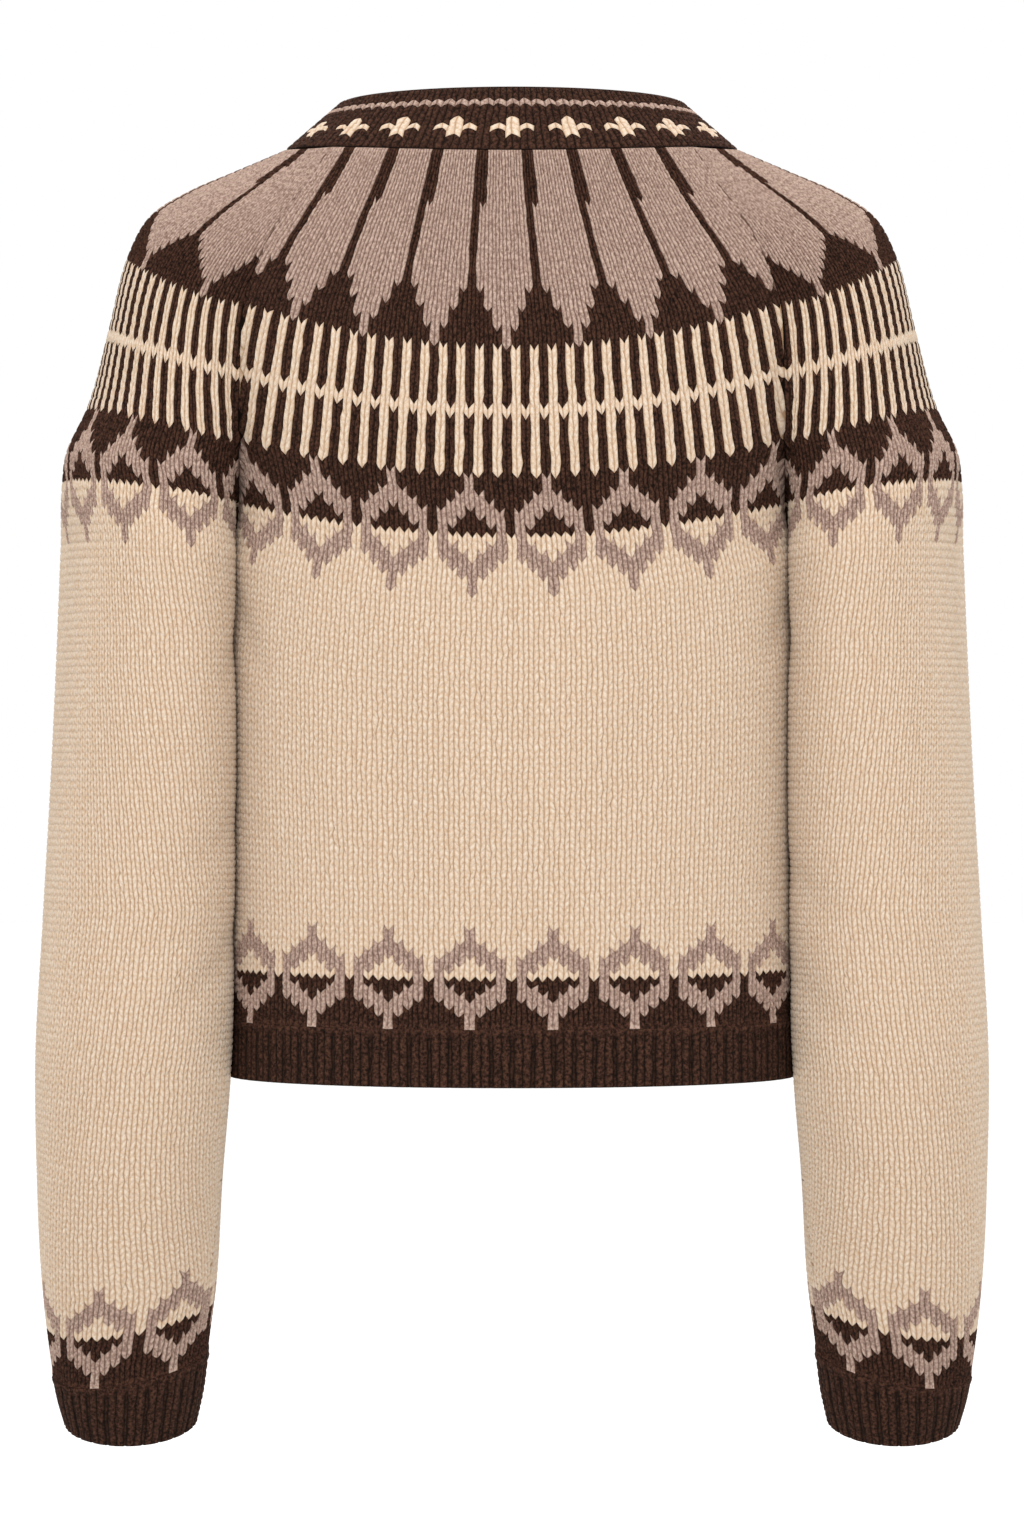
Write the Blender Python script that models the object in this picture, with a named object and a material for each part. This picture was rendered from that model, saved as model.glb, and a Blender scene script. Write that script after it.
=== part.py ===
"""Nordic yoke cardigan in chunky wool, filled out as when worn, with nobody in it.

The cloth is a set of knitted walls: a back, two fronts, two raglan sleeves, a neckband and two
button bands, closed with seven buttons. Metres, +Z up, the garment's front faces -Y and the
wearer's left is +X. The origin is the middle of the neck, level with the sides of the neck seam.

Every panel is a loft through rows of knitting. A row is named by its course, counted down from the
neck seam, and the tables below say where chosen courses run, in millimetres.
"""

import math

import bmesh
import bpy
import numpy as np
from mathutils import Vector

MM = 0.001

# Cloth
WALL = 3.0  # the knitted wall
NECKBAND_WALL = 4.6  # the neckband is folded double
SEAM_GAP = 0.3
SLEEVE_CLEARANCE = 2.0  # between a hanging sleeve and the body, whose hem rib is raised
RIB_RISE = 1.0

# Courses, counted down from the neck seam
UNDERARM = 48
HEM_RIB_TOP = 109
HEM_EDGE = 117
CUFF_RIB_TOP = 167
CUFF_EDGE = 175

# Knitting: half counts of stitches, two stitches to a rib
RIBS_ON_BACK = 38
RIBS_ON_FRONT = 17
RIBS_ON_CUFF = 24
RIBS_ON_NECKBAND = 77
RIB_PROFILE = (0.0, 0.22, 0.78)  # a groove, then both shoulders of a rib, as shares of the rib

# Front opening
BAND_HALF_WIDTH = 15.0
BAND_RIBS = 4
BAND_RISE = 0.7
OVERLAP_LIFT = 4.4  # how far the right band lies over the left one
LIFT_RUN = 32.0  # the width over which the right front rises to its band
BUTTON_COURSES = (-4, 16, 36, 55, 74, 93, 112)
BUTTON_RADIUS = 9.0
BUTTON_THICKNESS = 3.4
BUTTON_SIDES = 16
BUTTON_STAND = 0.6  # the button's back above the band's ribs
BUTTON_PROFILE = ((0.0, 0.0), (0.8, 0.0), (1.0, 0.35), (0.96, 1.0), (0.72, 1.0), (0.62, 0.62), (0.0, 0.62))

# Neck seam and neckband, as rings: x = half_width sin(a), y = centre + depth cos(a), a = 0 at the back
NECK_SEAM = {"half_width": 122.5, "centre": -4.0, "back": 82.0, "front": 84.0,
             "back_drop": 10.0, "front_drop": 55.0, "height": 0.0}
NECK_TOP = {"half_width": 92.5, "centre": -7.0, "back": 60.0, "front": 62.0,
            "back_drop": 0.0, "front_drop": 47.0, "height": 26.5}

NECK_SPREAD = 0.35  # how far the cloth at the neck seam turns outwards from the band's slope
NECK_LIFT = 0.008  # the band starts this share of its height above the seam
NECKBAND_STEPS = (0.0, 0.1, 0.5, 0.88, 1.0)
FOLD_ROUND = 1.2

# Rows across the back and the front: the middle of the row, its end at the seam with the sleeve or
# at the side, and its bend, the angle that the row turns through from the middle to its end.
ROW_COLUMNS = ("course", "middle_y", "middle_z", "end_x", "end_y", "end_z", "bend")
BACK_ROWS = (
    (0, 78.0, -10.0, 96.0, 46.9, -3.9, 51.6),
    (6, 87.0, -40.0, 112.0, 53.0, -28.0, 51.0),
    (11, 94.0, -65.5, 125.5, 56.0, -47.5, 50.0),
    (16, 101.0, -91.0, 135.0, 57.0, -67.0, 50.0),
    (21, 107.0, -116.0, 142.5, 54.0, -88.0, 51.0),
    (27, 111.0, -147.0, 144.5, 51.0, -121.0, 57.0),
    (34, 113.0, -182.7, 144.5, 46.0, -160.0, 66.0),
    (41, 113.5, -213.5, 146.5, 29.0, -192.0, 78.0),
    (48, 113.0, -244.5, 154.3, 2.0, -220.0, 90.0),
    (60, 112.5, -288.0, 153.0, 3.0, -269.0, 90.0),
    (75, 110.5, -343.0, 152.0, 3.0, -331.0, 90.0),
    (95, 108.0, -416.0, 151.5, 3.0, -413.0, 90.0),
    (109, 107.5, -468.0, 152.0, 3.0, -468.0, 90.0),
    (117, 107.5, -498.0, 152.5, 3.0, -498.5, 90.0),
)
FRONT_ROWS = (
    (-8, -69.0, -20.5, 70.0, -47.5, 3.0, 49.0),
    (0, -88.0, -55.0, 92.5, -59.1, -23.7, 49.0),
    (6, -99.0, -80.0, 108.0, -66.0, -47.0, 49.0),
    (11, -106.0, -101.0, 118.0, -70.0, -62.0, 49.0),
    (16, -112.0, -122.0, 126.0, -71.0, -78.0, 50.0),
    (21, -116.0, -143.0, 132.0, -69.0, -96.0, 52.0),
    (27, -119.5, -170.0, 136.0, -63.0, -127.0, 57.0),
    (34, -122.0, -202.0, 139.5, -53.0, -163.0, 66.0),
    (41, -122.5, -230.0, 145.0, -31.0, -193.0, 78.0),
    (48, -122.0, -256.0, 154.3, 2.0, -220.0, 90.0),
    (60, -121.5, -297.0, 153.0, 3.0, -269.0, 90.0),
    (75, -118.5, -349.0, 152.0, 3.0, -331.0, 90.0),
    (95, -113.5, -418.0, 151.5, 3.0, -413.0, 90.0),
    (109, -111.0, -468.0, 152.0, 3.0, -468.0, 90.0),
    (117, -110.5, -498.0, 152.5, 3.0, -498.5, 90.0),
)

# Rows round a sleeve: an ellipse whose long half axis turns its back end in towards the body.
# reach is the greatest x of the row, tilt drops its back edge, as a forearm held a little forward.
SLEEVE_COLUMNS = ("course", "reach", "centre_x", "centre_y", "long", "turn", "height", "tilt")
SLEEVE_ROWS = (
    (0, 122.5, 0.0, -4.0, 82.0, 0.0, 0.0, 0.0),
    (6, 150.5, 45.0, -5.0, 72.0, 2.0, -11.5, 0.0),
    (11, 175.0, 82.0, -6.0, 68.0, 5.0, -22.0, 0.0),
    (16, 195.5, 112.0, -6.0, 65.0, 8.0, -35.5, 0.0),
    (21, 207.8, 140.0, -6.0, 62.0, 12.0, -58.0, 0.0),
    (27, 218.0, 165.0, -4.0, 62.0, 16.0, -96.0, 0.0),
    (34, 230.5, 182.0, -2.0, 64.0, 20.0, -139.0, 0.0),
    (38, 241.0, 189.0, 3.0, 64.5, 23.0, -163.0, 0.0),
    (41, 243.0, 192.5, 7.0, 64.5, 25.0, -179.0, 0.0),
    (48, 243.5, 195.7, 14.0, 64.0, 28.0, -213.0, 0.0),
    (60, 245.2, 196.6, 14.0, 63.0, 28.0, -263.0, 0.0),
    (80, 248.2, 198.0, 14.5, 61.5, 27.0, -340.0, 0.0),
    (100, 252.0, 200.5, 15.0, 60.0, 26.0, -415.5, 0.5),
    (120, 255.6, 202.8, 14.0, 57.5, 24.0, -491.0, 2.5),
    (135, 255.3, 206.2, 9.0, 54.0, 18.0, -547.0, 6.0),
    (153, 252.9, 207.6, -2.0, 47.5, 9.0, -615.0, 9.0),
    (160, 250.6, 208.2, -8.0, 44.0, 5.0, -642.0, 11.0),
    (167, 247.2, 208.0, -13.0, 41.0, 2.0, -668.0, 12.0),
    (175, 242.4, 207.7, -18.0, 36.5, 0.0, -688.5, 12.5),
)

# Which courses and how many faces across each panel takes
YOKE_STEPS = (0, 5, 10, 15, 19, 23, 28, 34, 39, 44, 48)
BODY_STEPS = (54, 62, 72, 84, 97, HEM_RIB_TOP, HEM_RIB_TOP + 1, HEM_EDGE)
SLEEVE_STEPS = (54, 64, 78, 92, 106, 120, 131, 142, 153, 160, CUFF_RIB_TOP, CUFF_RIB_TOP + 1, CUFF_EDGE)
BAND_STEPS = (-8, -4) + YOKE_STEPS + BODY_STEPS
CLEAR_FROM = 30  # courses below this one are held clear of the body
FACES_ACROSS = {"back": 22, "front": 10, "sleeve": 22, "neckband": 44}
ROW_SAMPLES = 121

YARNS = {
    "cream": ((0.740, 0.565, 0.415, 1.0), 0.95),
    "dark_brown": ((0.052, 0.027, 0.019, 1.0), 0.95),
    "horn": ((0.110, 0.055, 0.032, 1.0), 0.35),
}


def table_of(columns, rows):
    return {name: np.array(values, float) for name, values in zip(columns, zip(*rows))}


BACK = table_of(ROW_COLUMNS, BACK_ROWS)
FRONT = table_of(ROW_COLUMNS, FRONT_ROWS)
SLEEVE = table_of(SLEEVE_COLUMNS, SLEEVE_ROWS)


def smooth(table, column, course):
    """A table's column at any course, on a smooth curve through its rows above or below the underarm."""
    chosen = table["course"] <= UNDERARM if course <= UNDERARM else table["course"] >= UNDERARM
    at = table["course"][chosen]
    values = table[column][chosen]
    slopes = np.gradient(values, at)
    i = int(np.clip(np.searchsorted(at, course) - 1, 0, len(at) - 2))
    span = at[i + 1] - at[i]
    t = (course - at[i]) / span
    return (
        values[i] * (1 + 2 * t) * (1 - t) ** 2
        + values[i + 1] * t * t * (3 - 2 * t)
        + slopes[i] * span * t * (1 - t) ** 2
        - slopes[i + 1] * span * t * t * (1 - t)
    )


def ease(t):
    t = np.clip(t, 0.0, 1.0)
    return t * t * (3 - 2 * t)


def spaced(row, places, cut_start=0.0, cut_end=0.0):
    """Points of a row at the given shares of its length, and its direction there."""
    steps = np.linalg.norm(np.diff(row, axis=0), axis=1)
    along = np.concatenate([[0.0], np.cumsum(steps)])
    wanted = cut_start + np.asarray(places) * (along[-1] - cut_start - cut_end)
    heading = np.gradient(row, along, axis=0)
    points = np.stack([np.interp(wanted, along, row[:, axis]) for axis in range(3)], axis=1)
    headings = np.stack([np.interp(wanted, along, heading[:, axis]) for axis in range(3)], axis=1)
    return points, headings


def body_row(table, course, start=None):
    """One half of a row across the back or front, from x = start (or the middle) to its end."""
    middle_y, middle_z, end_x, end_y, end_z, bend = (
        smooth(table, column, course) for column in ROW_COLUMNS[1:]
    )
    bend = math.radians(bend)
    first = 0.0 if start is None else math.asin(start * math.sin(bend) / end_x)
    turn = np.linspace(first, bend, ROW_SAMPLES)
    x = end_x * np.sin(turn) / math.sin(bend)
    y = end_y + (middle_y - end_y) * (np.cos(turn) - math.cos(bend)) / (1 - math.cos(bend))
    z = middle_z + (end_z - middle_z) * (x / end_x) ** 2
    return np.stack([x, y, z], axis=1)


def body_half_width(y, z):
    """How far the body reaches sideways at a depth y and a height z."""
    course = np.interp(-z, -BACK["end_z"], BACK["course"])
    table = BACK if y > smooth(BACK, "end_y", course) else FRONT
    middle_y, end_x, end_y = (smooth(table, c, course) for c in ("middle_y", "end_x", "end_y"))
    bend = math.radians(smooth(table, "bend", course))
    share = (y - end_y) / (middle_y - end_y)
    cosine = math.cos(bend) + share * (1 - math.cos(bend))
    return end_x * math.sqrt(max(0.0, 1 - min(1.0, cosine) ** 2)) / math.sin(bend)


def mirrored(points):
    return points * np.array([-1.0, 1.0, 1.0])


def facing_of(grid, headings, closed_from=None):
    """The direction that the cloth faces at each point of a grid, out of the garment."""
    if closed_from is not None:
        joined = headings[closed_from:, 0] + headings[closed_from:, -1]
        headings[closed_from:, 0] = joined
        headings[closed_from:, -1] = joined
    out = np.cross(headings, np.gradient(grid, axis=0))
    return out / np.linalg.norm(out, axis=2, keepdims=True)


def grid_of(rows):
    """Rows of (points, headings) as one grid of each."""
    return np.array([points for points, _ in rows]), np.array([headings for _, headings in rows])


def back_grid(courses, across):
    """The back, from its left end to its right end."""
    places = np.linspace(0, 1, across // 2 + 1)
    rows = []
    for course in courses:
        half, heading = spaced(body_row(BACK, course), places, cut_end=SEAM_GAP / 2)
        points = np.concatenate([half[::-1], mirrored(half)[1:]])
        rows.append((points, np.concatenate([-heading[::-1], mirrored(heading)[1:]])))
    grid, headings = grid_of(rows)
    facing = -facing_of(grid, headings)
    for i, course in enumerate(courses[: courses.index(UNDERARM)]):
        facing[i, 0] = seam_facing(BACK, course)
        facing[i, -1] = mirrored(facing[i, 0])
    return grid, facing


def front_grid(courses, across, lifted):
    """A front from its band to its side, on the wearer's left; lifted makes it rise to its band."""
    rows = []
    for course in courses:
        row = body_row(FRONT, course, BAND_HALF_WIDTH)
        if lifted:
            rise = OVERLAP_LIFT * ease(1 - (row[:, 0] - BAND_HALF_WIDTH) / LIFT_RUN)
            row = row + rise[:, None] * band_facing(course)
        places = np.linspace(0, 1, across + 1)
        rows.append(spaced(row, places, cut_start=SEAM_GAP / 2, cut_end=SEAM_GAP / 2))
    grid, headings = grid_of(rows)
    facing = -facing_of(grid, headings)
    facing[:, 0] = [band_facing(course) for course in courses]
    for i, course in enumerate(courses[: courses.index(UNDERARM)]):
        facing[i, -1] = seam_facing(FRONT, course)
    return grid, facing


def sleeve_row(course, samples=ROW_SAMPLES):
    """A row round a sleeve, from its back seam over the outside to its front seam."""
    reach, centre_x, centre_y, long, turn, height, tilt = (
        smooth(SLEEVE, column, course) for column in SLEEVE_COLUMNS[1:]
    )
    turn = math.radians(turn)
    half_width = reach - centre_x
    short = math.sqrt(half_width**2 - (long * math.sin(turn)) ** 2) / math.cos(turn)
    outward = np.array([math.cos(turn), math.sin(turn)])
    backward = np.array([-math.sin(turn), math.cos(turn)])
    centre = np.array([centre_x, centre_y])
    share = np.linspace(0, 1, samples)
    first = math.radians(172.0)
    last = first - 2 * math.pi
    if course <= UNDERARM:
        ends = [seam_point(table, course) for table in (BACK, FRONT)]
        first, last = (
            math.atan2((end[:2] - centre) @ backward / long, (end[:2] - centre) @ outward / short)
            for end in ends
        )
        if last > 0:
            last -= 2 * math.pi
    angle = (first + (last - first) * share)[:, None]
    plan = centre + short * np.cos(angle) * outward + long * np.sin(angle) * backward
    z = np.full(samples, height)
    if course <= UNDERARM:
        for end, tip, half in ((ends[0], plan[0], share <= 0.5), (ends[1], plan[-1], share > 0.5)):
            near = np.abs(1 - 2 * share[half])
            plan[half] += (near**2)[:, None] * (end[:2] - tip)
            z[half] = end[2] + (height - end[2]) * np.sin(math.pi / 2 * (1 - near)) ** 1.6
    else:
        under = ease(1 - (course - UNDERARM) / 12) * (1 - np.sin(math.pi * share) ** 1.6)
        z += under * (seam_point(BACK, UNDERARM)[2] - smooth(SLEEVE, "height", UNDERARM))
        z -= (plan[:, 1] - centre_y) * math.tan(math.radians(tilt))
    row = np.column_stack([plan, z])
    if course > CLEAR_FROM:
        for point, place in zip(row, share):
            free = max(min(place, 1 - place) * 12, (course - UNDERARM) / 12)
            gap = SLEEVE_CLEARANCE * ease(free)
            point[0] = max(point[0], body_half_width(point[1], point[2]) + gap)
    return row


def seam_point(table, course):
    return np.array([smooth(table, column, course) for column in ("end_x", "end_y", "end_z")])


def unit(vector):
    return vector / np.linalg.norm(vector)


def seam_facing(table, course):
    """The direction that the cloth faces where the sleeve meets the back or the front, for both panels."""
    step = 0.5
    down = seam_point(table, min(course + step, UNDERARM)) - seam_point(table, max(course - step, 0.0))
    body = body_row(table, course)
    sleeve = sleeve_row(course)
    if table is FRONT:
        sleeve = sleeve[::-1]
    across = unit(body[-1] - body[-2]) + unit(sleeve[1] - sleeve[0])
    out = unit(np.cross(down, across))
    return out if out[:2] @ body[-1][:2] > 0 else -out


def sleeve_grid(courses, across):
    rows = []
    for course in courses:
        cut = SEAM_GAP / 2 if course < UNDERARM else 0.0
        points, headings = spaced(sleeve_row(course), np.linspace(0, 1, across + 1), cut, cut)
        if course == UNDERARM:
            points[[0, -1], 0] += SEAM_GAP
        if course >= UNDERARM:
            points[-1] = points[0]
        rows.append((points, headings))
    grid, headings = grid_of(rows)
    facing = facing_of(grid, headings, courses.index(UNDERARM))
    for i, course in enumerate(courses[: courses.index(UNDERARM)]):
        facing[i, 0] = seam_facing(BACK, course)
        facing[i, -1] = seam_facing(FRONT, course)
    return grid, facing


def ribbed(points, facing, ribs, rise):
    """A finer row on the same line, standing proud by a rib's rise but for the grooves between."""
    share = np.concatenate([(np.arange(ribs)[:, None] + np.array(RIB_PROFILE)).ravel() / ribs, [1.0]])
    height = np.concatenate([np.tile([0.0, rise, rise], ribs), [0.0]])
    places = np.linspace(0, 1, len(points))
    fine = np.stack([np.interp(share, places, points[:, axis]) for axis in range(3)], axis=1)
    out = np.stack([np.interp(share, places, facing[:, axis]) for axis in range(3)], axis=1)
    return fine + height[:, None] * out


class Wall:
    """A closed solid between an outer and an inner set of rows."""

    def __init__(self):
        self.mesh = bmesh.new()

    def row(self, points, closed=False):
        verts = [self.mesh.verts.new(Vector(point) * MM) for point in points[: -1 if closed else None]]
        return verts + verts[:1] if closed else verts

    def face(self, corners):
        kept = list(dict.fromkeys(corners))
        if len(kept) > 2:
            self.mesh.faces.new(kept)

    def strip(self, upper, lower):
        """Faces between two rows, which may have different numbers of points."""
        i = j = 0
        last_i, last_j = len(upper) - 1, len(lower) - 1
        while i < last_i or j < last_j:
            next_i = (i + 1) / last_i if i < last_i else 2.0
            next_j = (j + 1) / last_j if j < last_j else 2.0
            if abs(next_i - next_j) < 1e-9:
                self.face([upper[i], lower[j], lower[j + 1], upper[i + 1]])
                i, j = i + 1, j + 1
            elif next_i < next_j:
                self.face([upper[i], lower[j], upper[i + 1]])
                i += 1
            else:
                self.face([upper[i], lower[j], lower[j + 1]])
                j += 1

    def skins(self, outer_rows, inner_rows, open_rows=None):
        """Both skins, and the rims that join them round the edges of the cloth."""
        for rows in (outer_rows, inner_rows):
            for upper, lower in zip(rows, rows[1:]):
                self.strip(upper, lower)
        self.strip(outer_rows[0], inner_rows[0])
        self.strip(outer_rows[-1], inner_rows[-1])
        for edge in (0, -1):
            outer_edge = [row[edge] for row in outer_rows[:open_rows]]
            inner_edge = [row[edge] for row in inner_rows[:open_rows]]
            self.strip(outer_edge, inner_edge)

    def object(self, name, yarn, parent, collection):
        bmesh.ops.triangulate(self.mesh, faces=self.mesh.faces[:])
        bmesh.ops.recalc_face_normals(self.mesh, faces=self.mesh.faces[:])
        data = bpy.data.meshes.new(name)
        self.mesh.to_mesh(data)
        self.mesh.free()
        data.shade_smooth()
        data.set_sharp_from_angle(angle=math.radians(50))
        data.materials.append(yarn)
        return linked(name, data, parent, collection)


def linked(name, data, parent, collection):
    obj = bpy.data.objects.new(name, data)
    obj.parent = parent
    collection.objects.link(obj)
    return obj


def yarn_material(name):
    colour, roughness = YARNS[name]
    material = bpy.data.materials.new(name)
    material.use_nodes = True
    shader = material.node_tree.nodes["Principled BSDF"]
    shader.inputs["Base Color"].default_value = colour
    shader.inputs["Roughness"].default_value = roughness
    shader.inputs["Metallic"].default_value = 0.0
    material.diffuse_color = colour
    return material


def build_panel(name, grid, facing, ribs, closed_from, parent, collection):
    """A panel from the neck seam to its ribbed edge, its last two rows. It is a tube from closed_from on."""
    facing[0] = [neck_facing(point) for point in grid[0]]
    plain_rows = len(grid) - 2
    wall = Wall()
    outer_rows = []
    inner_rows = []
    for i, (points, out) in enumerate(zip(grid, facing)):
        line = points if i < plain_rows else ribbed(points, out, ribs, RIB_RISE)
        outer_rows.append(wall.row(line, closed=i >= closed_from))
        inner_rows.append(wall.row(points - WALL * out, closed=i >= closed_from))
    wall.skins(outer_rows, inner_rows, closed_from + 1)
    wall.object(name, yarn_material("cream"), parent, collection)


def build_back(parent, collection):
    courses = YOKE_STEPS + BODY_STEPS
    grid, facing = back_grid(courses, FACES_ACROSS["back"])
    build_panel("back", grid, facing, RIBS_ON_BACK, len(courses), parent, collection)


def build_front(name, right, parent, collection):
    courses = YOKE_STEPS + BODY_STEPS
    grid, facing = front_grid(courses, FACES_ACROSS["front"], lifted=right)
    if right:
        grid, facing = mirrored(grid), mirrored(facing)
    build_panel(name, grid, facing, RIBS_ON_FRONT, len(courses), parent, collection)


def build_sleeve(name, right, parent, collection):
    courses = YOKE_STEPS + SLEEVE_STEPS
    grid, facing = sleeve_grid(courses, FACES_ACROSS["sleeve"])
    if right:
        grid, facing = mirrored(grid), mirrored(facing)
    build_panel(name, grid, facing, RIBS_ON_CUFF, courses.index(UNDERARM), parent, collection)


def ring_point(ring, angle):
    """A point of a neck ring, angle 0 at the middle of the back and positive to the wearer's left."""
    half = "back" if math.cos(angle) > 0 else "front"
    x = ring["half_width"] * math.sin(angle)
    y = ring["centre"] + ring[half] * math.cos(angle)
    z = ring["height"] - ring[half + "_drop"] * math.cos(angle) ** 2
    return np.array([x, y, z])


def neck_facing(point):
    """The direction that the cloth faces at the neck seam, between the yoke's and the band's."""
    half = "back" if point[1] > NECK_SEAM["centre"] else "front"
    angle = math.atan2(point[0] / NECK_SEAM["half_width"], (point[1] - NECK_SEAM["centre"]) / NECK_SEAM[half])
    along = ring_point(NECK_SEAM, angle - 0.02) - ring_point(NECK_SEAM, angle + 0.02)
    rise = ring_point(NECK_TOP, angle) - ring_point(NECK_SEAM, angle)
    out = np.cross(along, rise)
    out /= np.linalg.norm(out)
    mixed = out + NECK_SPREAD * np.array([math.sin(angle), math.cos(angle), 0.0])
    return mixed / np.linalg.norm(mixed)


def neckband_grid():
    """Rows from the neck seam up to the fold, from the left band round the back to the right."""
    rows = []
    for share in NECKBAND_STEPS:
        limits = [
            math.pi - math.asin((BAND_HALF_WIDTH + SEAM_GAP) / ring["half_width"])
            for ring in (NECK_SEAM, NECK_TOP)
        ]
        limit = limits[0] + (limits[1] - limits[0]) * share
        climb = NECK_LIFT + share * (1 - NECK_LIFT)
        row = []
        for angle in np.linspace(limit, -limit, ROW_SAMPLES):
            low, high = ring_point(NECK_SEAM, angle), ring_point(NECK_TOP, angle)
            point = low + (high - low) * climb
            if math.sin(angle) < 0 and math.cos(angle) < 0:
                rise = OVERLAP_LIFT * ease(1 - (-point[0] - BAND_HALF_WIDTH) / LIFT_RUN)
                point = point + rise * band_facing(-8 * share)
            row.append(point)
        rows.append(spaced(np.array(row), np.linspace(0, 1, FACES_ACROSS["neckband"] + 1)))
    grid, headings = grid_of(rows)
    return grid, facing_of(grid, headings)


def build_neckband(parent, collection):
    grid, facing = neckband_grid()
    facing[0] = [neck_facing(point) for point in grid[0]]
    wall = Wall()
    outer_rows = [wall.row(grid[0])]
    outer_rows += [wall.row(ribbed(grid[i], facing[i], RIBS_ON_NECKBAND, RIB_RISE)) for i in (1, 3)]
    outer_rows.append(wall.row(grid[4] - FOLD_ROUND * facing[4]))
    inner_rows = [wall.row(grid[i] - NECKBAND_WALL * facing[i]) for i in (0, 2, 3)]
    inner_rows.append(wall.row(grid[4] - (NECKBAND_WALL - FOLD_ROUND) * facing[4]))
    wall.skins(outer_rows, inner_rows)
    wall.object("neckband", yarn_material("dark_brown"), parent, collection)


def band_facing(course):
    """The direction that the front faces along its middle."""
    step = 0.5
    low, high = np.clip([course - step, course + step], FRONT["course"][0], FRONT["course"][-1])
    fall_y = smooth(FRONT, "middle_y", high) - smooth(FRONT, "middle_y", low)
    fall_z = smooth(FRONT, "middle_z", high) - smooth(FRONT, "middle_z", low)
    out = np.array([0.0, fall_z, -fall_y])
    return unit(out)


def band_grid(lift):
    side = BAND_HALF_WIDTH - SEAM_GAP / 2
    grid = []
    facing = []
    for course in BAND_STEPS:
        row = body_row(FRONT, course)
        out = band_facing(course)
        points = [
            [x, np.interp(abs(x), row[:, 0], row[:, 1]), np.interp(abs(x), row[:, 0], row[:, 2])]
            for x in (side, 0.0, -side)
        ]
        grid.append(np.array(points) + lift * out)
        facing.append(np.tile(out, (3, 1)))
    return np.array(grid), np.array(facing)


def build_band(name, lift, parent, collection):
    grid, facing = band_grid(lift)
    wall = Wall()
    outer_rows = [wall.row(ribbed(points, out, BAND_RIBS, BAND_RISE)) for points, out in zip(grid, facing)]
    inner_rows = [wall.row(points - WALL * out) for points, out in zip(grid, facing)]
    wall.skins(outer_rows, inner_rows)
    wall.object(name, yarn_material("dark_brown"), parent, collection)


def button_mesh():
    """A round button with a raised rim and a dished face, turned about its own axis."""
    radius, thick = BUTTON_RADIUS * MM, BUTTON_THICKNESS * MM
    profile = [(radius * across, 0.0, thick * up) for across, up in BUTTON_PROFILE]
    mesh = bmesh.new()
    verts = [mesh.verts.new(point) for point in profile]
    edges = [mesh.edges.new(pair) for pair in zip(verts, verts[1:])]
    bmesh.ops.spin(
        mesh, geom=verts + edges, cent=(0, 0, 0), axis=(0, 0, 1), dvec=(0, 0, 0),
        angle=2 * math.pi, steps=BUTTON_SIDES, use_merge=False, use_duplicate=False,
    )
    bmesh.ops.remove_doubles(mesh, verts=mesh.verts[:], dist=1e-6)
    bmesh.ops.recalc_face_normals(mesh, faces=mesh.faces[:])
    data = bpy.data.meshes.new("button")
    mesh.to_mesh(data)
    mesh.free()
    data.shade_smooth()
    data.set_sharp_from_angle(angle=math.radians(40))
    data.materials.append(yarn_material("horn"))
    return data


def build_buttons(parent, collection):
    grid, _ = band_grid(OVERLAP_LIFT)
    data = button_mesh()
    for number, course in enumerate(BUTTON_COURSES, start=1):
        out = band_facing(course)
        place = np.array([np.interp(course, BAND_STEPS, grid[:, 1, axis]) for axis in range(3)])
        button = linked(f"button_{number}", data, parent, collection)
        button.location = Vector(place + (BAND_RISE + BUTTON_STAND) * out) * MM
        button.rotation_euler = Vector(out).to_track_quat("Z", "Y").to_euler()


def main():
    for obj in list(bpy.data.objects):
        bpy.data.objects.remove(obj)
    collection = bpy.data.collections.new("nordic_cardigan")
    bpy.context.scene.collection.children.link(collection)
    cardigan = bpy.data.objects.new("cardigan", None)
    collection.objects.link(cardigan)
    build_back(cardigan, collection)
    build_front("left_front", False, cardigan, collection)
    build_front("right_front", True, cardigan, collection)
    build_sleeve("left_sleeve", False, cardigan, collection)
    build_sleeve("right_sleeve", True, cardigan, collection)
    build_neckband(cardigan, collection)
    build_band("left_button_band", 0.0, cardigan, collection)
    build_band("right_button_band", OVERLAP_LIFT, cardigan, collection)
    build_buttons(cardigan, collection)


main()
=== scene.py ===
"""The nordic yoke cardigan as it looks: every stitch of its knitting, raised on the frame's walls.

Shapes are in millimetres until they become meshes. +Z is up, the garment's front faces -Y and the
wearer's left is +X. A course is one row of knitting, counted down from the neck seam, and the tables
say where chosen courses run. The charts give the colours, a letter for each stitch.
"""

import math

import bpy
import numpy as np
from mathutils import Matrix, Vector


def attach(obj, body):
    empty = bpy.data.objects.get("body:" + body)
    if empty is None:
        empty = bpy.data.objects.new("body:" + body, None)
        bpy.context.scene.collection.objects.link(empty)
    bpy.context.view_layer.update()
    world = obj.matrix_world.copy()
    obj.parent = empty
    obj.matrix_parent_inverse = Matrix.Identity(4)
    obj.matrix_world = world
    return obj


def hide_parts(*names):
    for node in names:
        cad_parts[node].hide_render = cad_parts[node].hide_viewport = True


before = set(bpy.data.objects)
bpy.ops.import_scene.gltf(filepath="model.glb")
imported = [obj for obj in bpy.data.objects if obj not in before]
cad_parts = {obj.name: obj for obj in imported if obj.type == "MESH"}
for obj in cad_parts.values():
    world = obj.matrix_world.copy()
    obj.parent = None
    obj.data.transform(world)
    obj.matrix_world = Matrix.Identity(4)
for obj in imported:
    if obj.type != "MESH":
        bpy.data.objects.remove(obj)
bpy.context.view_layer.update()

MM = 0.001

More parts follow.
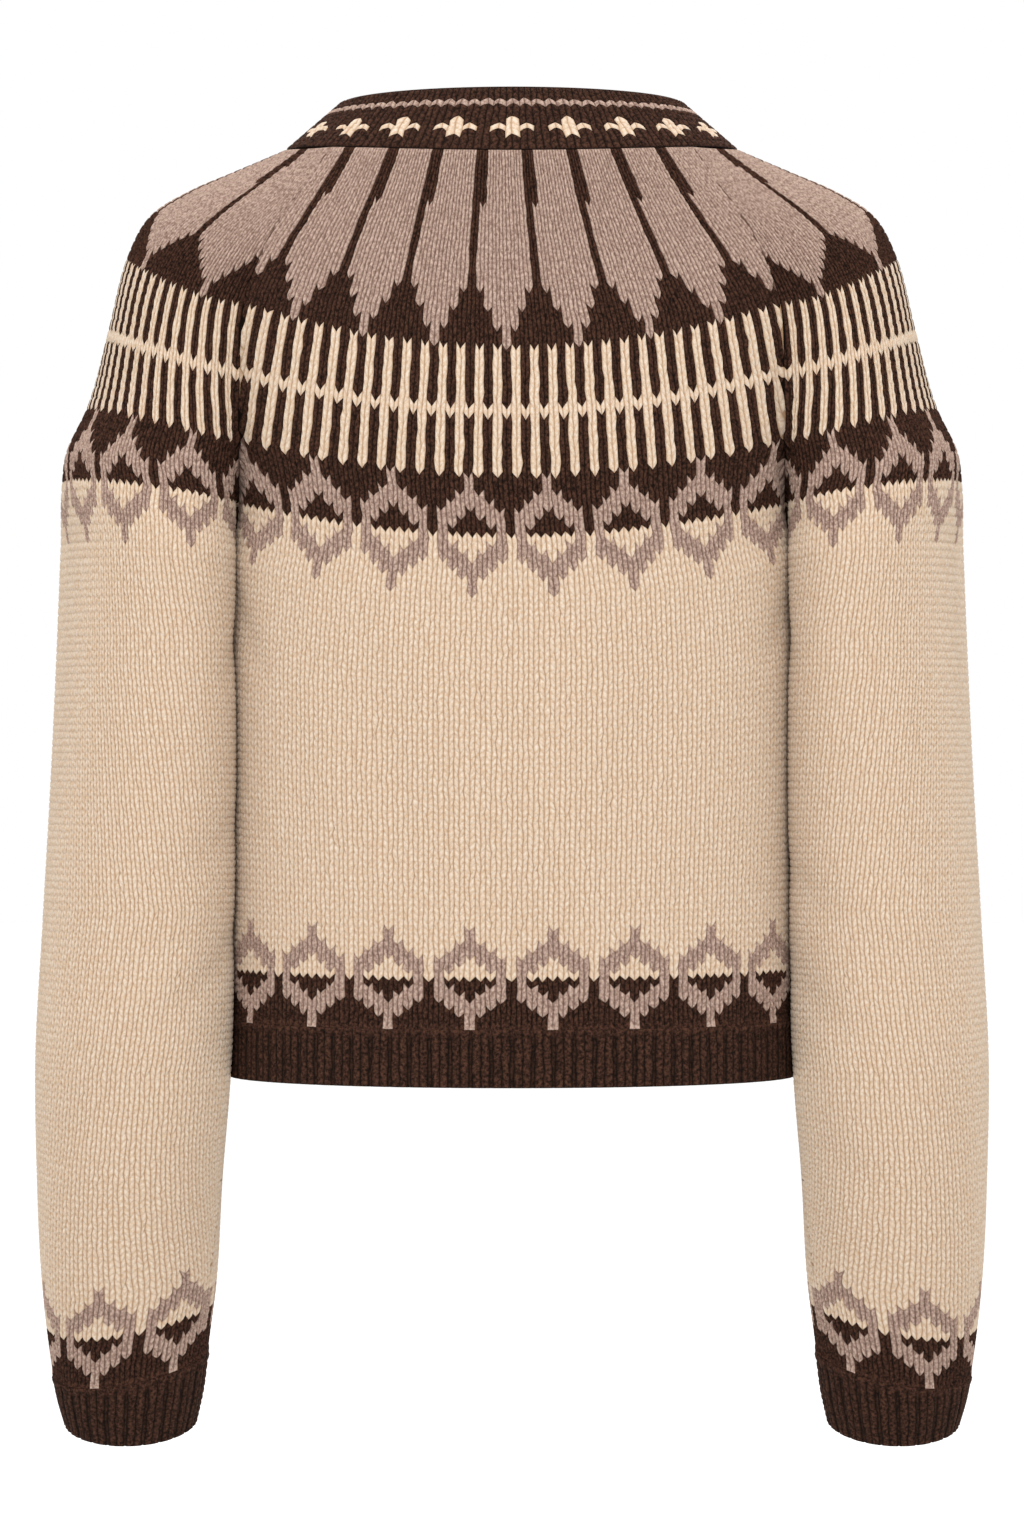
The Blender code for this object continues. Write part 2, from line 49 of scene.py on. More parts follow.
# Cloth
WALL = 3.0  # the knitted wall
NECKBAND_WALL = 4.6  # the neckband is folded double
SEAM_GAP = 0.06
COURSE_HEIGHT = 3.7
NEARLY = 1e-9

# Courses, counted down from the neck seam
BAND_TOP = -8
UNDERARM = 48
HEM_RIB_TOP = 109
HEM_EDGE = 117
CUFF_RIB_TOP = 165
CUFF_EDGE = 175

# Stitches
RIBS_ON_BACK = 38
RIBS_ON_FRONT = 17
RIBS_ON_CUFF = 24
RIBS_ON_NECKBAND = 77
BACK_STITCHES = (-36, 37)  # the first and the last, counted from the middle of the back
FRONT_STITCHES = (2, 35)

# Front opening
BAND_HALF_WIDTH = 15.0
BAND_RIBS = 4
BAND_RISE = 0.7
OVERLAP_LIFT = 4.4  # how far the right band lies over the left one
LIFT_RUN = 32.0  # the width over which the right front rises to its band

# Buttons
BUTTON_COURSES = (-4, 16, 36, 55, 74, 93, 112)
BUTTON_RADIUS = 9.0
BUTTON_THICKNESS = 3.4
BUTTON_STAND = 0.6  # the button's back above the band's ribs
BUTTON_RIM = 2.2
BUTTON_SLOPE = 0.7  # the width of the step from the rim down to the sunk middle
BUTTON_SUNK = 1.0
BUTTON_ROUNDING = 0.35
HOLE_RADIUS = 0.8
HOLE_OFFSET = 1.5  # of the four holes from the button's middle, both ways

# Neck seam and neckband, as rings: x = half_width sin(a), y = centre + depth cos(a), a = 0 at the back
NECK_SEAM = {"half_width": 122.5, "centre": -4.0, "back": 82.0, "front": 84.0,
             "back_drop": 10.0, "front_drop": 55.0, "height": 0.0}
NECK_TOP = {"half_width": 92.5, "centre": -7.0, "back": 60.0, "front": 62.0,
            "back_drop": 0.0, "front_drop": 47.0, "height": 26.5}

NECK_SPREAD = 0.35  # how far the cloth at the neck seam turns outwards from the band's slope
NECK_LIFT = 0.008  # the band starts this share of its height above the seam
NECK_FOLD = ((0.7, 0.6), (1.0, 1.9), (0.7, 3.4), (0.0, NECKBAND_WALL))  # how high at each depth of the wall

# Rows across the back and the front: the middle of the row, its end at the seam with the sleeve or
# at the side, and its bend, the angle that the row turns through from the middle to its end.
ROW_COLUMNS = ("course", "middle_y", "middle_z", "end_x", "end_y", "end_z", "bend")
BACK_ROWS = (
    (0, 78.0, -10.0, 96.0, 46.9, -3.9, 51.6),
    (6, 87.0, -40.0, 112.0, 53.0, -28.0, 51.0),
    (11, 94.0, -65.5, 125.5, 56.0, -47.5, 50.0),
    (16, 101.0, -91.0, 135.0, 57.0, -67.0, 50.0),
    (21, 107.0, -116.0, 142.5, 54.0, -88.0, 51.0),
    (27, 111.0, -147.0, 144.5, 51.0, -121.0, 57.0),
    (34, 113.0, -182.7, 144.5, 46.0, -160.0, 66.0),
    (41, 113.5, -213.5, 146.5, 29.0, -192.0, 78.0),
    (48, 113.0, -244.5, 154.3, 2.0, -220.0, 90.0),
    (60, 112.5, -288.0, 153.0, 3.0, -269.0, 90.0),
    (75, 110.5, -343.0, 152.0, 3.0, -331.0, 90.0),
    (95, 108.0, -416.0, 151.5, 3.0, -413.0, 90.0),
    (109, 107.5, -468.0, 152.0, 3.0, -468.0, 90.0),
    (117, 107.5, -498.0, 152.5, 3.0, -498.5, 90.0),
)
FRONT_ROWS = (
    (-8, -69.0, -20.5, 70.0, -47.5, 3.0, 49.0),
    (0, -88.0, -55.0, 92.5, -59.1, -23.7, 49.0),
    (6, -99.0, -80.0, 108.0, -66.0, -47.0, 49.0),
    (11, -106.0, -101.0, 118.0, -70.0, -62.0, 49.0),
    (16, -112.0, -122.0, 126.0, -71.0, -78.0, 50.0),
    (21, -116.0, -143.0, 132.0, -69.0, -96.0, 52.0),
    (27, -119.5, -170.0, 136.0, -63.0, -127.0, 57.0),
    (34, -122.0, -202.0, 139.5, -53.0, -163.0, 66.0),
    (41, -122.5, -230.0, 145.0, -31.0, -193.0, 78.0),
    (48, -122.0, -256.0, 154.3, 2.0, -220.0, 90.0),
    (60, -121.5, -297.0, 153.0, 3.0, -269.0, 90.0),
    (75, -118.5, -349.0, 152.0, 3.0, -331.0, 90.0),
    (95, -113.5, -418.0, 151.5, 3.0, -413.0, 90.0),
    (109, -111.0, -468.0, 152.0, 3.0, -468.0, 90.0),
    (117, -110.5, -498.0, 152.5, 3.0, -498.5, 90.0),
)

# Rows round a sleeve: an ellipse whose long half axis turns its back end in towards the body.
# reach is the greatest x of the row, tilt drops its back edge, as a forearm held a little forward.
SLEEVE_COLUMNS = ("course", "reach", "centre_x", "centre_y", "long", "turn", "height", "tilt")
SLEEVE_ROWS = (
    (0, 122.5, 0.0, -4.0, 82.0, 0.0, 0.0, 0.0),
    (6, 150.5, 45.0, -5.0, 72.0, 2.0, -11.5, 0.0),
    (11, 175.0, 82.0, -6.0, 68.0, 5.0, -22.0, 0.0),
    (16, 195.5, 112.0, -6.0, 65.0, 8.0, -35.5, 0.0),
    (21, 207.8, 140.0, -6.0, 62.0, 12.0, -58.0, 0.0),
    (27, 218.0, 165.0, -4.0, 62.0, 16.0, -96.0, 0.0),
    (34, 230.5, 182.0, -2.0, 64.0, 20.0, -139.0, 0.0),
    (38, 241.0, 189.0, 3.0, 64.5, 23.0, -163.0, 0.0),
    (41, 243.0, 192.5, 7.0, 64.5, 25.0, -179.0, 0.0),
    (48, 243.5, 195.7, 14.0, 64.0, 28.0, -213.0, 0.0),
    (60, 245.2, 196.6, 14.0, 63.0, 28.0, -263.0, 0.0),
    (80, 248.2, 198.0, 14.5, 61.5, 27.0, -340.0, 0.0),
    (100, 252.0, 200.5, 15.0, 60.0, 26.0, -415.5, 0.5),
    (120, 255.6, 202.8, 14.0, 57.5, 24.0, -491.0, 2.5),
    (135, 255.3, 206.2, 9.0, 54.0, 18.0, -547.0, 6.0),
    (153, 252.9, 207.6, -2.0, 47.5, 9.0, -615.0, 9.0),
    (160, 250.6, 208.2, -8.0, 44.0, 5.0, -642.0, 11.0),
    (167, 247.2, 208.0, -13.0, 41.0, 2.0, -668.0, 12.0),
    (175, 242.4, 207.7, -18.0, 36.5, 0.0, -688.5, 12.5),
)

# Where a sleeve comes near the body
CLEAR_FROM = 30  # courses below this one are held clear of it
RIB_GAP = 2.0  # beside the raised ribs of the hem
PLAIN_GAP = 1.45  # above them
HEM_LEVEL = -445.0  # the height that parts the two
GAP_GROWTH = 12  # the gap is whole a twelfth of a row from the underarm
CLINGS = 0.7  # how closely the sleeve keeps to the body
CLING_REACH = 6.0
UNDERARM_ANGLE = 172.0  # from the middle of a sleeve's row, where the row starts and ends below the armhole
UNDERARM_RUN = 12  # courses over which a sleeve's rows level out below the armhole
CAP_ROUNDNESS = 1.6  # how quickly a sleeve's rows climb from their seams

# How finely panels are made: samples of a row, steps across a panel, points across its lining, and the
# courses from one row of the lining to the next
ROW_SAMPLES = 121
STEPS_ACROSS = {"back": 120, "front": 60, "sleeve": 132, "neckband": 160, "band": 8}
LINING_ACROSS = {"back": 41, "front": 21, "sleeve": 45, "neckband": 61, "band": 5}
NECKBAND_STEPS = 21
LINING_STEP = 4
LONG_LINING_STEP = 5  # on the sleeves below the armhole and on the bands

# Stitches by course: half of the back's, and all of a sleeve's
HALF_BACK = (
    (0, 33.0), (10, 32.5), (16, 31.5), (20, 30.9), (23, 30.3), (28, 29.3), (34, 28.1),
    (38, 29.9), (42, 32.1), (48, 35.0), (60, 34.2), (75, 33.9), (95, 34.2), (HEM_EDGE, 34.4),
)
SLEEVE_ROUND = (
    (0, 52.0), (6, 56.0), (21, 60.0), (34, 61.0), (41, 66.0), (48, 76.0),
    (60, 72.0), (98, 69.0), (120, 66.0), (151, 50.0), (153, 49.0), (CUFF_EDGE, 49.0),
)
# How the stitches lie on the body by course: how far the back's lie to its right, in stitches, and
# how they are spread along a row, as measured() says
BACK_LEAN = ((0, -1.8), (20, -0.6), (34, -0.5), (42, 0.0), (48, 0.1), (HEM_EDGE, -0.1))
SPREAD = (
    (0, 1.0), (19, 0.75), (23, 1.08), (34, 1.18), (38, 0.78),
    (42, 0.5), (48, 0.36), (60, 0.3), (HEM_EDGE, 0.3),
)
# How they lie on a sleeve by course: how far its seam turns forward and how far the stitches are drawn
# out beside it, as shares of the sleeve's round, and how many courses they are drawn up there
SEAM_TURN = ((48, 0.0), (98, 0.0), (153, 0.06), (CUFF_EDGE, 0.06))
DRAWN_OUT = ((34, 0.0), (41, 0.1), (48, 0.34), (64, 0.3), (98, 0.0))
DRAWN_OUT_IN_FRONT = 0.65  # as a share of that at the back
DRAWN_UP = ((130, 0.0), (148, 3.4), (165, 3.4), (CUFF_EDGE, 0.0))
DRAWN_UP_POWER = 1.5  # how quickly that fades away from the seam

# A stitch is two legs, each a ridge. Heights are in millimetres above the panel's outer skin.
SHEAR = 0.36  # how far a stitch's legs slope, in courses
BAND_SHEAR = 0.3
LEG_RISE = 1.15
LEG_BASE = -0.45
BRIDGE = 0.34  # the share of its rise that a leg keeps where the next one starts
UNEVEN = 0.05  # how far hand knitting strays, in stitches
RIDGE_ACROSS = 0.36  # where a leg's ridge starts across its width, and ends as far from the other side
RIDGE_DOWN = 0.3
RIB_ACROSS = (0.0, 0.09, 0.5, 0.91)  # a rib's lines: its groove, and the edges and the middle of its wale
RIB_LEG_RISE = 0.95
RIB_BASE = 0.2
RIB_CROWN = 0.1  # its middle above its edges
RIB_GROOVE = -0.35
MEETING_LIFT = 0.7  # of the edge of one kind of stitch where the next kind follows on
PAST_EDGE = 0.02  # the share of a hem by which its outer lines are laid past its ends, to be brought back

# The dip beside the seams between the sleeves and the body: its depth by course, and its half width
SEAM_SINK = ((0, 0.0), (14, 0.6), (26, 2.2), (38, 3.2), (44, 2.6), (UNDERARM, 0.0))
SEAM_DIP = 8.5

# Soft creases: height (below 0 for a trough), half width, and for both ends the share of a row and the
# course
CREASE_POWER = 0.7  # how quickly one rises from its ends
CREASES = {
    "back": (
        (-1.5, 14.0, (0.31, 56), (0.36, 94)),
        (-1.1, 16.0, (0.73, 53), (0.66, 80)),
        (0.9, 15.0, (0.52, 68), (0.56, 98)),
        (-1.7, 9.0, (0.055, 51), (0.13, 64)),
        (-1.5, 9.0, (0.94, 52), (0.88, 62)),
        (0.8, 12.0, (0.22, 60), (0.25, 84)),
    ),
    "left_front": (
        (-1.4, 13.0, (0.52, 54), (0.46, 92)),
        (-1.6, 9.0, (0.90, 52), (0.78, 66)),
        (0.9, 14.0, (0.26, 58), (0.30, 86)),
        (-1.0, 12.0, (0.72, 72), (0.68, 94)),
    ),
    "right_front": (
        (-1.3, 14.0, (0.44, 58), (0.50, 90)),
        (-1.6, 9.0, (0.90, 51), (0.80, 63)),
        (0.8, 13.0, (0.66, 66), (0.63, 92)),
    ),
    "left_sleeve": (
        (-1.5, 9.0, (0.06, 54), (0.17, 68)),
        (-1.2, 12.0, (0.07, 84), (0.27, 95)),
        (-1.5, 10.0, (0.06, 99), (0.24, 113)),
        (0.9, 11.0, (0.20, 104), (0.36, 116)),
        (-1.0, 12.0, (0.30, 120), (0.44, 134)),
        (-1.4, 10.0, (0.94, 86), (0.74, 100)),
        (-1.6, 10.0, (0.93, 103), (0.70, 119)),
        (-1.2, 11.0, (0.90, 126), (0.78, 140)),
    ),
    "right_sleeve": (
        (-1.4, 9.0, (0.07, 53), (0.15, 66)),
        (-1.3, 11.0, (0.06, 90), (0.24, 100)),
        (-1.4, 11.0, (0.08, 104), (0.28, 119)),
        (0.8, 12.0, (0.24, 94), (0.38, 104)),
        (-1.0, 11.0, (0.12, 128), (0.26, 138)),
        (-1.5, 11.0, (0.93, 90), (0.72, 106)),
        (-1.4, 10.0, (0.92, 112), (0.74, 124)),
    ),
}

# Charts, a row of knitting each, from the top down: G taupe, B brown, C cream
OGIVE = (
    "BBBGBBBB",
    "BBBGBBBB",
    "BBGGGBBB",
    "BGGGGGBB",
    "GGGBGGGB",
    "GGBBBGGB",
    "GBBBBBGB",
    "GCCCCCGC",
    "GGCCCGGC",
    "GGGCGGGC",
    "CGGGGGCC",
    "CCGGGCCC",
    "CCCGCCCC",
    "CCCGCCCC",
)
OGIVE_TIP = 3  # the chart's column that holds the ogive's two tips
OGIVE_DARK = 7  # the rows above its widest part: brown beside it in the yoke, cream in the borders
OGIVE_MIDDLES = {"body": (4, 4), "sleeve": (0, 3)}  # a stitch with a tip, in the yoke and in the border
# A petal's width in stitches, from the given course down, on the body and on a sleeve
PETAL_REPEAT = {"body": 8, "sleeve": 12}
PETAL_WIDTH = {
    "body": {0: 6, 6: 7, 15: 5, 17: 3, 19: 1},
    "sleeve": {0: 9, 3: 10, 6: 11, 15: 9, 16: 7, 17: 5, 18: 3, 19: 1},
}
STRIPES_FROM = 21
STRIPES_ACROSS = 27
OGIVE_FROM = 34
BORDER_FROM = {"body": 95, "sleeve": 151}

NECKBAND_ROWS = (0.0, 0.11, 0.22, 0.325, 0.4, 0.51, 0.62, 0.725, 0.8, 0.9, 1.0)
NECKBAND_CHART = {2: "BCBB", 3: "CCCB", 4: "BCBB", 7: "GGGG"}  # by row, up from the seam, one rib a letter

# Each yarn's deep and light tone, its painted shade between the stitches, and its sheen
GROOVE_SHADE_POWER = 2.2  # how closely that painted shade keeps to the grooves
YARN_ORDER = "CGB"
YARNS = {
    "cream_yarn": ((0.53, 0.384, 0.262, 1), (0.616, 0.524, 0.428, 1), (0.325, 0.2, 0.113, 1), 0.16),
    "taupe_yarn": ((0.22, 0.142, 0.11, 1), (0.461, 0.337, 0.273, 1), (0.1, 0.057, 0.043, 1), 0.2),
    "brown_yarn": (
        (0.0096, 0.0043, 0.0026, 1), (0.0665, 0.029, 0.0178, 1), (0.004, 0.002, 0.0012, 1), 0.04,
    ),
}

# Stage, in metres
FLOOR_LEVEL = -1.15
FLOOR_SIZE = 40.0
LAMPS = {"key": (0.05, 2.5, 2.2), "front": (-0.05, -2.5, 2.2)}
LAMP_SIZE = 2.6
LAMP_POWER = 104.0
LAMPS_AIM_AT = (0.0, 0.0, -0.3)
CAMERA_DISTANCE = 2.3
CAMERA_LEVEL = -0.333
VIEW_HEIGHT = 0.830
SENSOR_HEIGHT = 36.0


def table_of(columns, rows):
    """A table's columns by name."""
    return {name: np.array(values, float) for name, values in zip(columns, zip(*rows))}


BACK = table_of(ROW_COLUMNS, BACK_ROWS)
FRONT = table_of(ROW_COLUMNS, FRONT_ROWS)
SLEEVE = table_of(SLEEVE_COLUMNS, SLEEVE_ROWS)


def smooth(table, column, course):
    """A table's column at any course, on a smooth curve through its rows above or below the underarm."""
    chosen = table["course"] <= UNDERARM if course <= UNDERARM else table["course"] >= UNDERARM
    at = table["course"][chosen]
    values = table[column][chosen]
    slopes = np.gradient(values, at)
    i = int(np.clip(np.searchsorted(at, course) - 1, 0, len(at) - 2))
    span = at[i + 1] - at[i]
    t = (course - at[i]) / span
    return (
        values[i] * (1 + 2 * t) * (1 - t) ** 2
        + values[i + 1] * t * t * (3 - 2 * t)
        + slopes[i] * span * t * (1 - t) ** 2
        - slopes[i + 1] * span * t * t * (1 - t)
    )


def counted(table):
    """A table of (course, value) as a function of the course."""
    courses, counts = zip(*table)
    return lambda course: np.interp(course, courses, counts)


def ease(t):
    """From 0 to 1 as t does, level at both ends."""
    t = np.clip(t, 0.0, 1.0)
    return t * t * (3 - 2 * t)


def measured(row, spread=0.0):
    """The length along a row to each of its points, and the share of its stitches up to there. The
    stitches are even along the row with a spread of 0 and even sideways with a spread of 1. Above 1
    those in the middle are narrower still."""
    steps = np.linalg.norm(np.diff(row, axis=0), axis=1)
    along = np.concatenate([[0.0], np.cumsum(steps)])
    share = along / along[-1]
    if spread:
        share = (1 - spread) * share + spread * row[:, 0] / row[-1, 0]
    return along, share


def spaced(row, places, cut_start=0.0, cut_end=0.0, spread=0.0):
    """Points of a row at the given shares of its stitches, and its direction there."""
    along, share = measured(row, spread)
    first, last = np.interp([cut_start, along[-1] - cut_end], along, share)
    wanted = np.interp(first + np.asarray(places) * (last - first), share, along)
    heading = np.gradient(row, along, axis=0)
    points = np.stack([np.interp(wanted, along, row[:, axis]) for axis in range(3)], axis=1)
    headings = np.stack([np.interp(wanted, along, heading[:, axis]) for axis in range(3)], axis=1)
    return points, headings


def body_row(table, course):
    """One half of a row across the back or front, from the middle to its end."""
    middle_y, middle_z, end_x, end_y, end_z, bend = (
        smooth(table, column, course) for column in ROW_COLUMNS[1:]
    )
    bend = math.radians(bend)
    turn = np.linspace(0.0, bend, ROW_SAMPLES)
    x = end_x * np.sin(turn) / math.sin(bend)
    y = end_y + (middle_y - end_y) * (np.cos(turn) - math.cos(bend)) / (1 - math.cos(bend))
    z = middle_z + (end_z - middle_z) * (x / end_x) ** 2
    return np.stack([x, y, z], axis=1)


def body_half_width(y, z):
    """How far the body reaches sideways at a depth y and a height z."""
    course = np.interp(-z, -BACK["end_z"], BACK["course"])
    table = BACK if y > smooth(BACK, "end_y", course) else FRONT
    middle_y, end_x, end_y = (smooth(table, c, course) for c in ("middle_y", "end_x", "end_y"))
    bend = math.radians(smooth(table, "bend", course))
    share = (y - end_y) / (middle_y - end_y)
    cosine = math.cos(bend) + share * (1 - math.cos(bend))
    return end_x * math.sqrt(max(0.0, 1 - min(1.0, cosine) ** 2)) / math.sin(bend)


def mirrored(points):
    return points * np.array([-1.0, 1.0, 1.0])


def facing_of(grid, headings, closed_from=None):
    """The direction that the cloth faces at each point of a grid, out of the garment."""
    out = np.cross(headings, np.gradient(grid, axis=0))
    if closed_from is not None:
        joined = out[closed_from:, 0] + out[closed_from:, -1]
        out[closed_from:, 0] = joined
        out[closed_from:, -1] = joined
    return out / np.linalg.norm(out, axis=2, keepdims=True)


def grid_of(rows):
    """Rows of (points, headings) as one grid of each."""
    return np.array([points for points, _ in rows]), np.array([headings for _, headings in rows])


def back_grid(courses):
    """The back, from its left end to its right end."""
    places = np.linspace(0, 1, STEPS_ACROSS["back"] // 2 + 1)
    rows = []
    for course in courses:
        row = body_row(BACK, course)
        half, heading = spaced(row, places, cut_end=SEAM_GAP / 2, spread=counted(SPREAD)(course))
        points = np.concatenate([half[::-1], mirrored(half)[1:]])
        rows.append((points, np.concatenate([-heading[::-1], mirrored(heading)[1:]])))
    grid, headings = grid_of(rows)
    facing = -facing_of(grid, headings)
    for i, course in enumerate(courses[: courses.index(UNDERARM)]):
        facing[i, 0] = seam_facing(BACK, course)
        facing[i, -1] = mirrored(facing[i, 0])
    return grid, facing


def front_start(course):
    """Where a front's row begins beside its band: the length cut off it and the share of its stitches."""
    row = body_row(FRONT, course)
    along, share = measured(row, counted(SPREAD)(course))
    cut = np.interp(BAND_HALF_WIDTH, row[:, 0], along) + SEAM_GAP / 2
    return cut, np.interp(cut, along, share)


def front_grid(courses, lifted):
    """A front from its band to its side, on the wearer's left; lifted makes it rise to its band."""
    places = np.linspace(0, 1, STEPS_ACROSS["front"] + 1)
    rows = []
    for course in courses:
        row = body_row(FRONT, course)
        if lifted:
            rise = OVERLAP_LIFT * ease(1 - (row[:, 0] - BAND_HALF_WIDTH) / LIFT_RUN)
            row = row + rise[:, None] * band_facing(course)
        cut, _ = front_start(course)
        rows.append(spaced(row, places, cut, SEAM_GAP / 2, counted(SPREAD)(course)))
    grid, headings = grid_of(rows)
    facing = -facing_of(grid, headings)
    facing[:, 0] = [band_facing(course) for course in courses]
    for i, course in enumerate(courses[: courses.index(UNDERARM)]):
        facing[i, -1] = seam_facing(FRONT, course)
    return grid, facing


def sleeve_row(course):
    """A row round a sleeve, from its back seam over the outside to its front seam."""
    reach, centre_x, centre_y, long, turn, height, tilt = (
        smooth(SLEEVE, column, course) for column in SLEEVE_COLUMNS[1:]
    )
    turn = math.radians(turn)
    half_width = reach - centre_x
    short = math.sqrt(half_width**2 - (long * math.sin(turn)) ** 2) / math.cos(turn)
    outward = np.array([math.cos(turn), math.sin(turn)])
    backward = np.array([-math.sin(turn), math.cos(turn)])
    centre = np.array([centre_x, centre_y])
    share = np.linspace(0, 1, ROW_SAMPLES)
    first = math.radians(UNDERARM_ANGLE)
    last = first - 2 * math.pi
    if course <= UNDERARM:
        ends = [seam_point(table, course) for table in (BACK, FRONT)]
        first, last = (
            math.atan2((end[:2] - centre) @ backward / long, (end[:2] - centre) @ outward / short)
            for end in ends
        )
        if last > 0:
            last -= 2 * math.pi
    angle = (first + (last - first) * share)[:, None]
    plan = centre + short * np.cos(angle) * outward + long * np.sin(angle) * backward
    z = np.full(ROW_SAMPLES, height)
    if course <= UNDERARM:
        for end, tip, half in ((ends[0], plan[0], share <= 0.5), (ends[1], plan[-1], share > 0.5)):
            near = np.abs(1 - 2 * share[half])
            plan[half] += (near**2)[:, None] * (end[:2] - tip)
            z[half] = end[2] + (height - end[2]) * np.sin(math.pi / 2 * (1 - near)) ** CAP_ROUNDNESS
    else:
        under = ease(1 - (course - UNDERARM) / UNDERARM_RUN)
        under = under * (1 - np.sin(math.pi * share) ** CAP_ROUNDNESS)
        z += under * (seam_point(BACK, UNDERARM)[2] - smooth(SLEEVE, "height", UNDERARM))
        z -= (plan[:, 1] - centre_y) * math.tan(math.radians(tilt))
    row = np.column_stack([plan, z])
    if course > CLEAR_FROM:
        for point, place in zip(row, share):
            free = max(min(place, 1 - place) * GAP_GROWTH, (course - UNDERARM) / UNDERARM_RUN)
            gap = (PLAIN_GAP if point[2] > HEM_LEVEL else RIB_GAP) * ease(free)
            beside = body_half_width(point[1], point[2]) + gap
            off = max(0.0, point[0] - beside)
            point[0] = beside + off * (1 - CLINGS * math.exp(-off / CLING_REACH))
    return row


def seam_point(table, course):
    return np.array([smooth(table, column, course) for column in ("end_x", "end_y", "end_z")])


def unit(vector):
    return vector / np.linalg.norm(vector)


def seam_facing(table, course):
    """The direction that the cloth faces where the sleeve meets the back or the front, for both panels."""
    step = 0.5
    down = seam_point(table, min(course + step, UNDERARM)) - seam_point(table, max(course - step, 0.0))
    body = body_row(table, course)
    sleeve = sleeve_row(course)
    if table is FRONT:
        sleeve = sleeve[::-1]
    across = unit(body[-1] - body[-2]) + unit(sleeve[1] - sleeve[0])
    out = unit(np.cross(down, across))
    return out if out[:2] @ body[-1][:2] > 0 else -out


def sleeve_grid(courses):
    """A sleeve from its back seam round to its front seam, closed below the armhole."""
    places = np.linspace(0, 1, STEPS_ACROSS["sleeve"] + 1)
    rows = []
    for course in courses:
        cut = SEAM_GAP / 2 if course < UNDERARM else 0.0
        points, headings = spaced(sleeve_row(course), places, cut, cut)
        if course == UNDERARM:
            points[[0, -1], 0] += SEAM_GAP
        if course >= UNDERARM:
            points[-1] = points[0]
        rows.append((points, headings))
    grid, headings = grid_of(rows)
    facing = facing_of(grid, headings, courses.index(UNDERARM))
    for i, course in enumerate(courses[: courses.index(UNDERARM)]):
        facing[i, 0] = seam_facing(BACK, course)
        facing[i, -1] = seam_facing(FRONT, course)
    return grid, facing


def ring_point(ring, angle):
    """A point of a neck ring, angle 0 at the middle of the back and positive to the wearer's left."""
    half = "back" if math.cos(angle) > 0 else "front"
    x = ring["half_width"] * math.sin(angle)
    y = ring["centre"] + ring[half] * math.cos(angle)
    z = ring["height"] - ring[half + "_drop"] * math.cos(angle) ** 2
    return np.array([x, y, z])


def neck_facing(point):
    """The direction that the cloth faces at the neck seam, between the yoke's and the band's."""
    step = 0.02
    backward = point[1] - NECK_SEAM["centre"]
    depth = NECK_SEAM["back" if backward > 0 else "front"]
    angle = math.atan2(point[0] / NECK_SEAM["half_width"], backward / depth)
    along = ring_point(NECK_SEAM, angle - step) - ring_point(NECK_SEAM, angle + step)
    rise = ring_point(NECK_TOP, angle) - ring_point(NECK_SEAM, angle)
    out = unit(np.cross(along, rise))
    return unit(out + NECK_SPREAD * np.array([math.sin(angle), math.cos(angle), 0.0]))


def band_facing(course):
    """The direction that the front faces along its middle."""
    step = 0.5
    low, high = np.clip([course - step, course + step], FRONT["course"][0], FRONT["course"][-1])
    fall_y = smooth(FRONT, "middle_y", high) - smooth(FRONT, "middle_y", low)
    fall_z = smooth(FRONT, "middle_z", high) - smooth(FRONT, "middle_z", low)
    return unit(np.array([0.0, fall_z, -fall_y]))


class Cloth:
    """A panel's outer skin as a fine grid of points and facings, read at any share of a row and course."""

    def __init__(self, courses, grid, facing):
        self.courses = np.array(courses, float)
        self.grid = grid
        self.facing = facing

    def at(self, share, course, height):
        course, share, height = np.broadcast_arrays(course, share, height)
        row = np.interp(course, self.courses, np.arange(len(self.courses)))
        column = share * (self.grid.shape[1] - 1)
        i = np.clip(row.astype(int), 0, len(self.courses) - 2)
        j = np.clip(column.astype(int), 0, self.grid.shape[1] - 2)
        down = (row - i)[..., None]
        along = (column - j)[..., None]

        def read(table):
            upper = table[i, j] * (1 - along) + table[i, j + 1] * along
            lower = table[i + 1, j] * (1 - along) + table[i + 1, j + 1] * along
            return upper * (1 - down) + lower * down

        out = read(self.facing)
        out = out / np.linalg.norm(out, axis=-1, keepdims=True)
        return read(self.grid) + height[..., None] * out

    def turns_left(self):
        """Whether a row's direction crossed with the way down points into the garment."""
        i, j = (size // 2 for size in self.grid.shape[:2])
        along = self.grid[i, j + 1] - self.grid[i, j]
        down = self.grid[i + 1, j] - self.grid[i, j]
        return np.cross(along, down) @ self.facing[i, j] < 0


def sunk_seam(courses, grid, facing, ends):
    """The cloth dipped beside the seams between the sleeves and the body. ends are its columns at them."""
    steps = np.linalg.norm(np.diff(grid, axis=1), axis=2)
    along = np.concatenate([np.zeros((len(grid), 1)), np.cumsum(steps, axis=1)], axis=1)
    sink = counted(SEAM_SINK)(courses)[:, None]
    for end in ends:
        away = np.abs(along - along[:, [end]])
        grid = grid - (sink * np.exp(-((away / SEAM_DIP) ** 2)))[..., None] * facing
    return grid


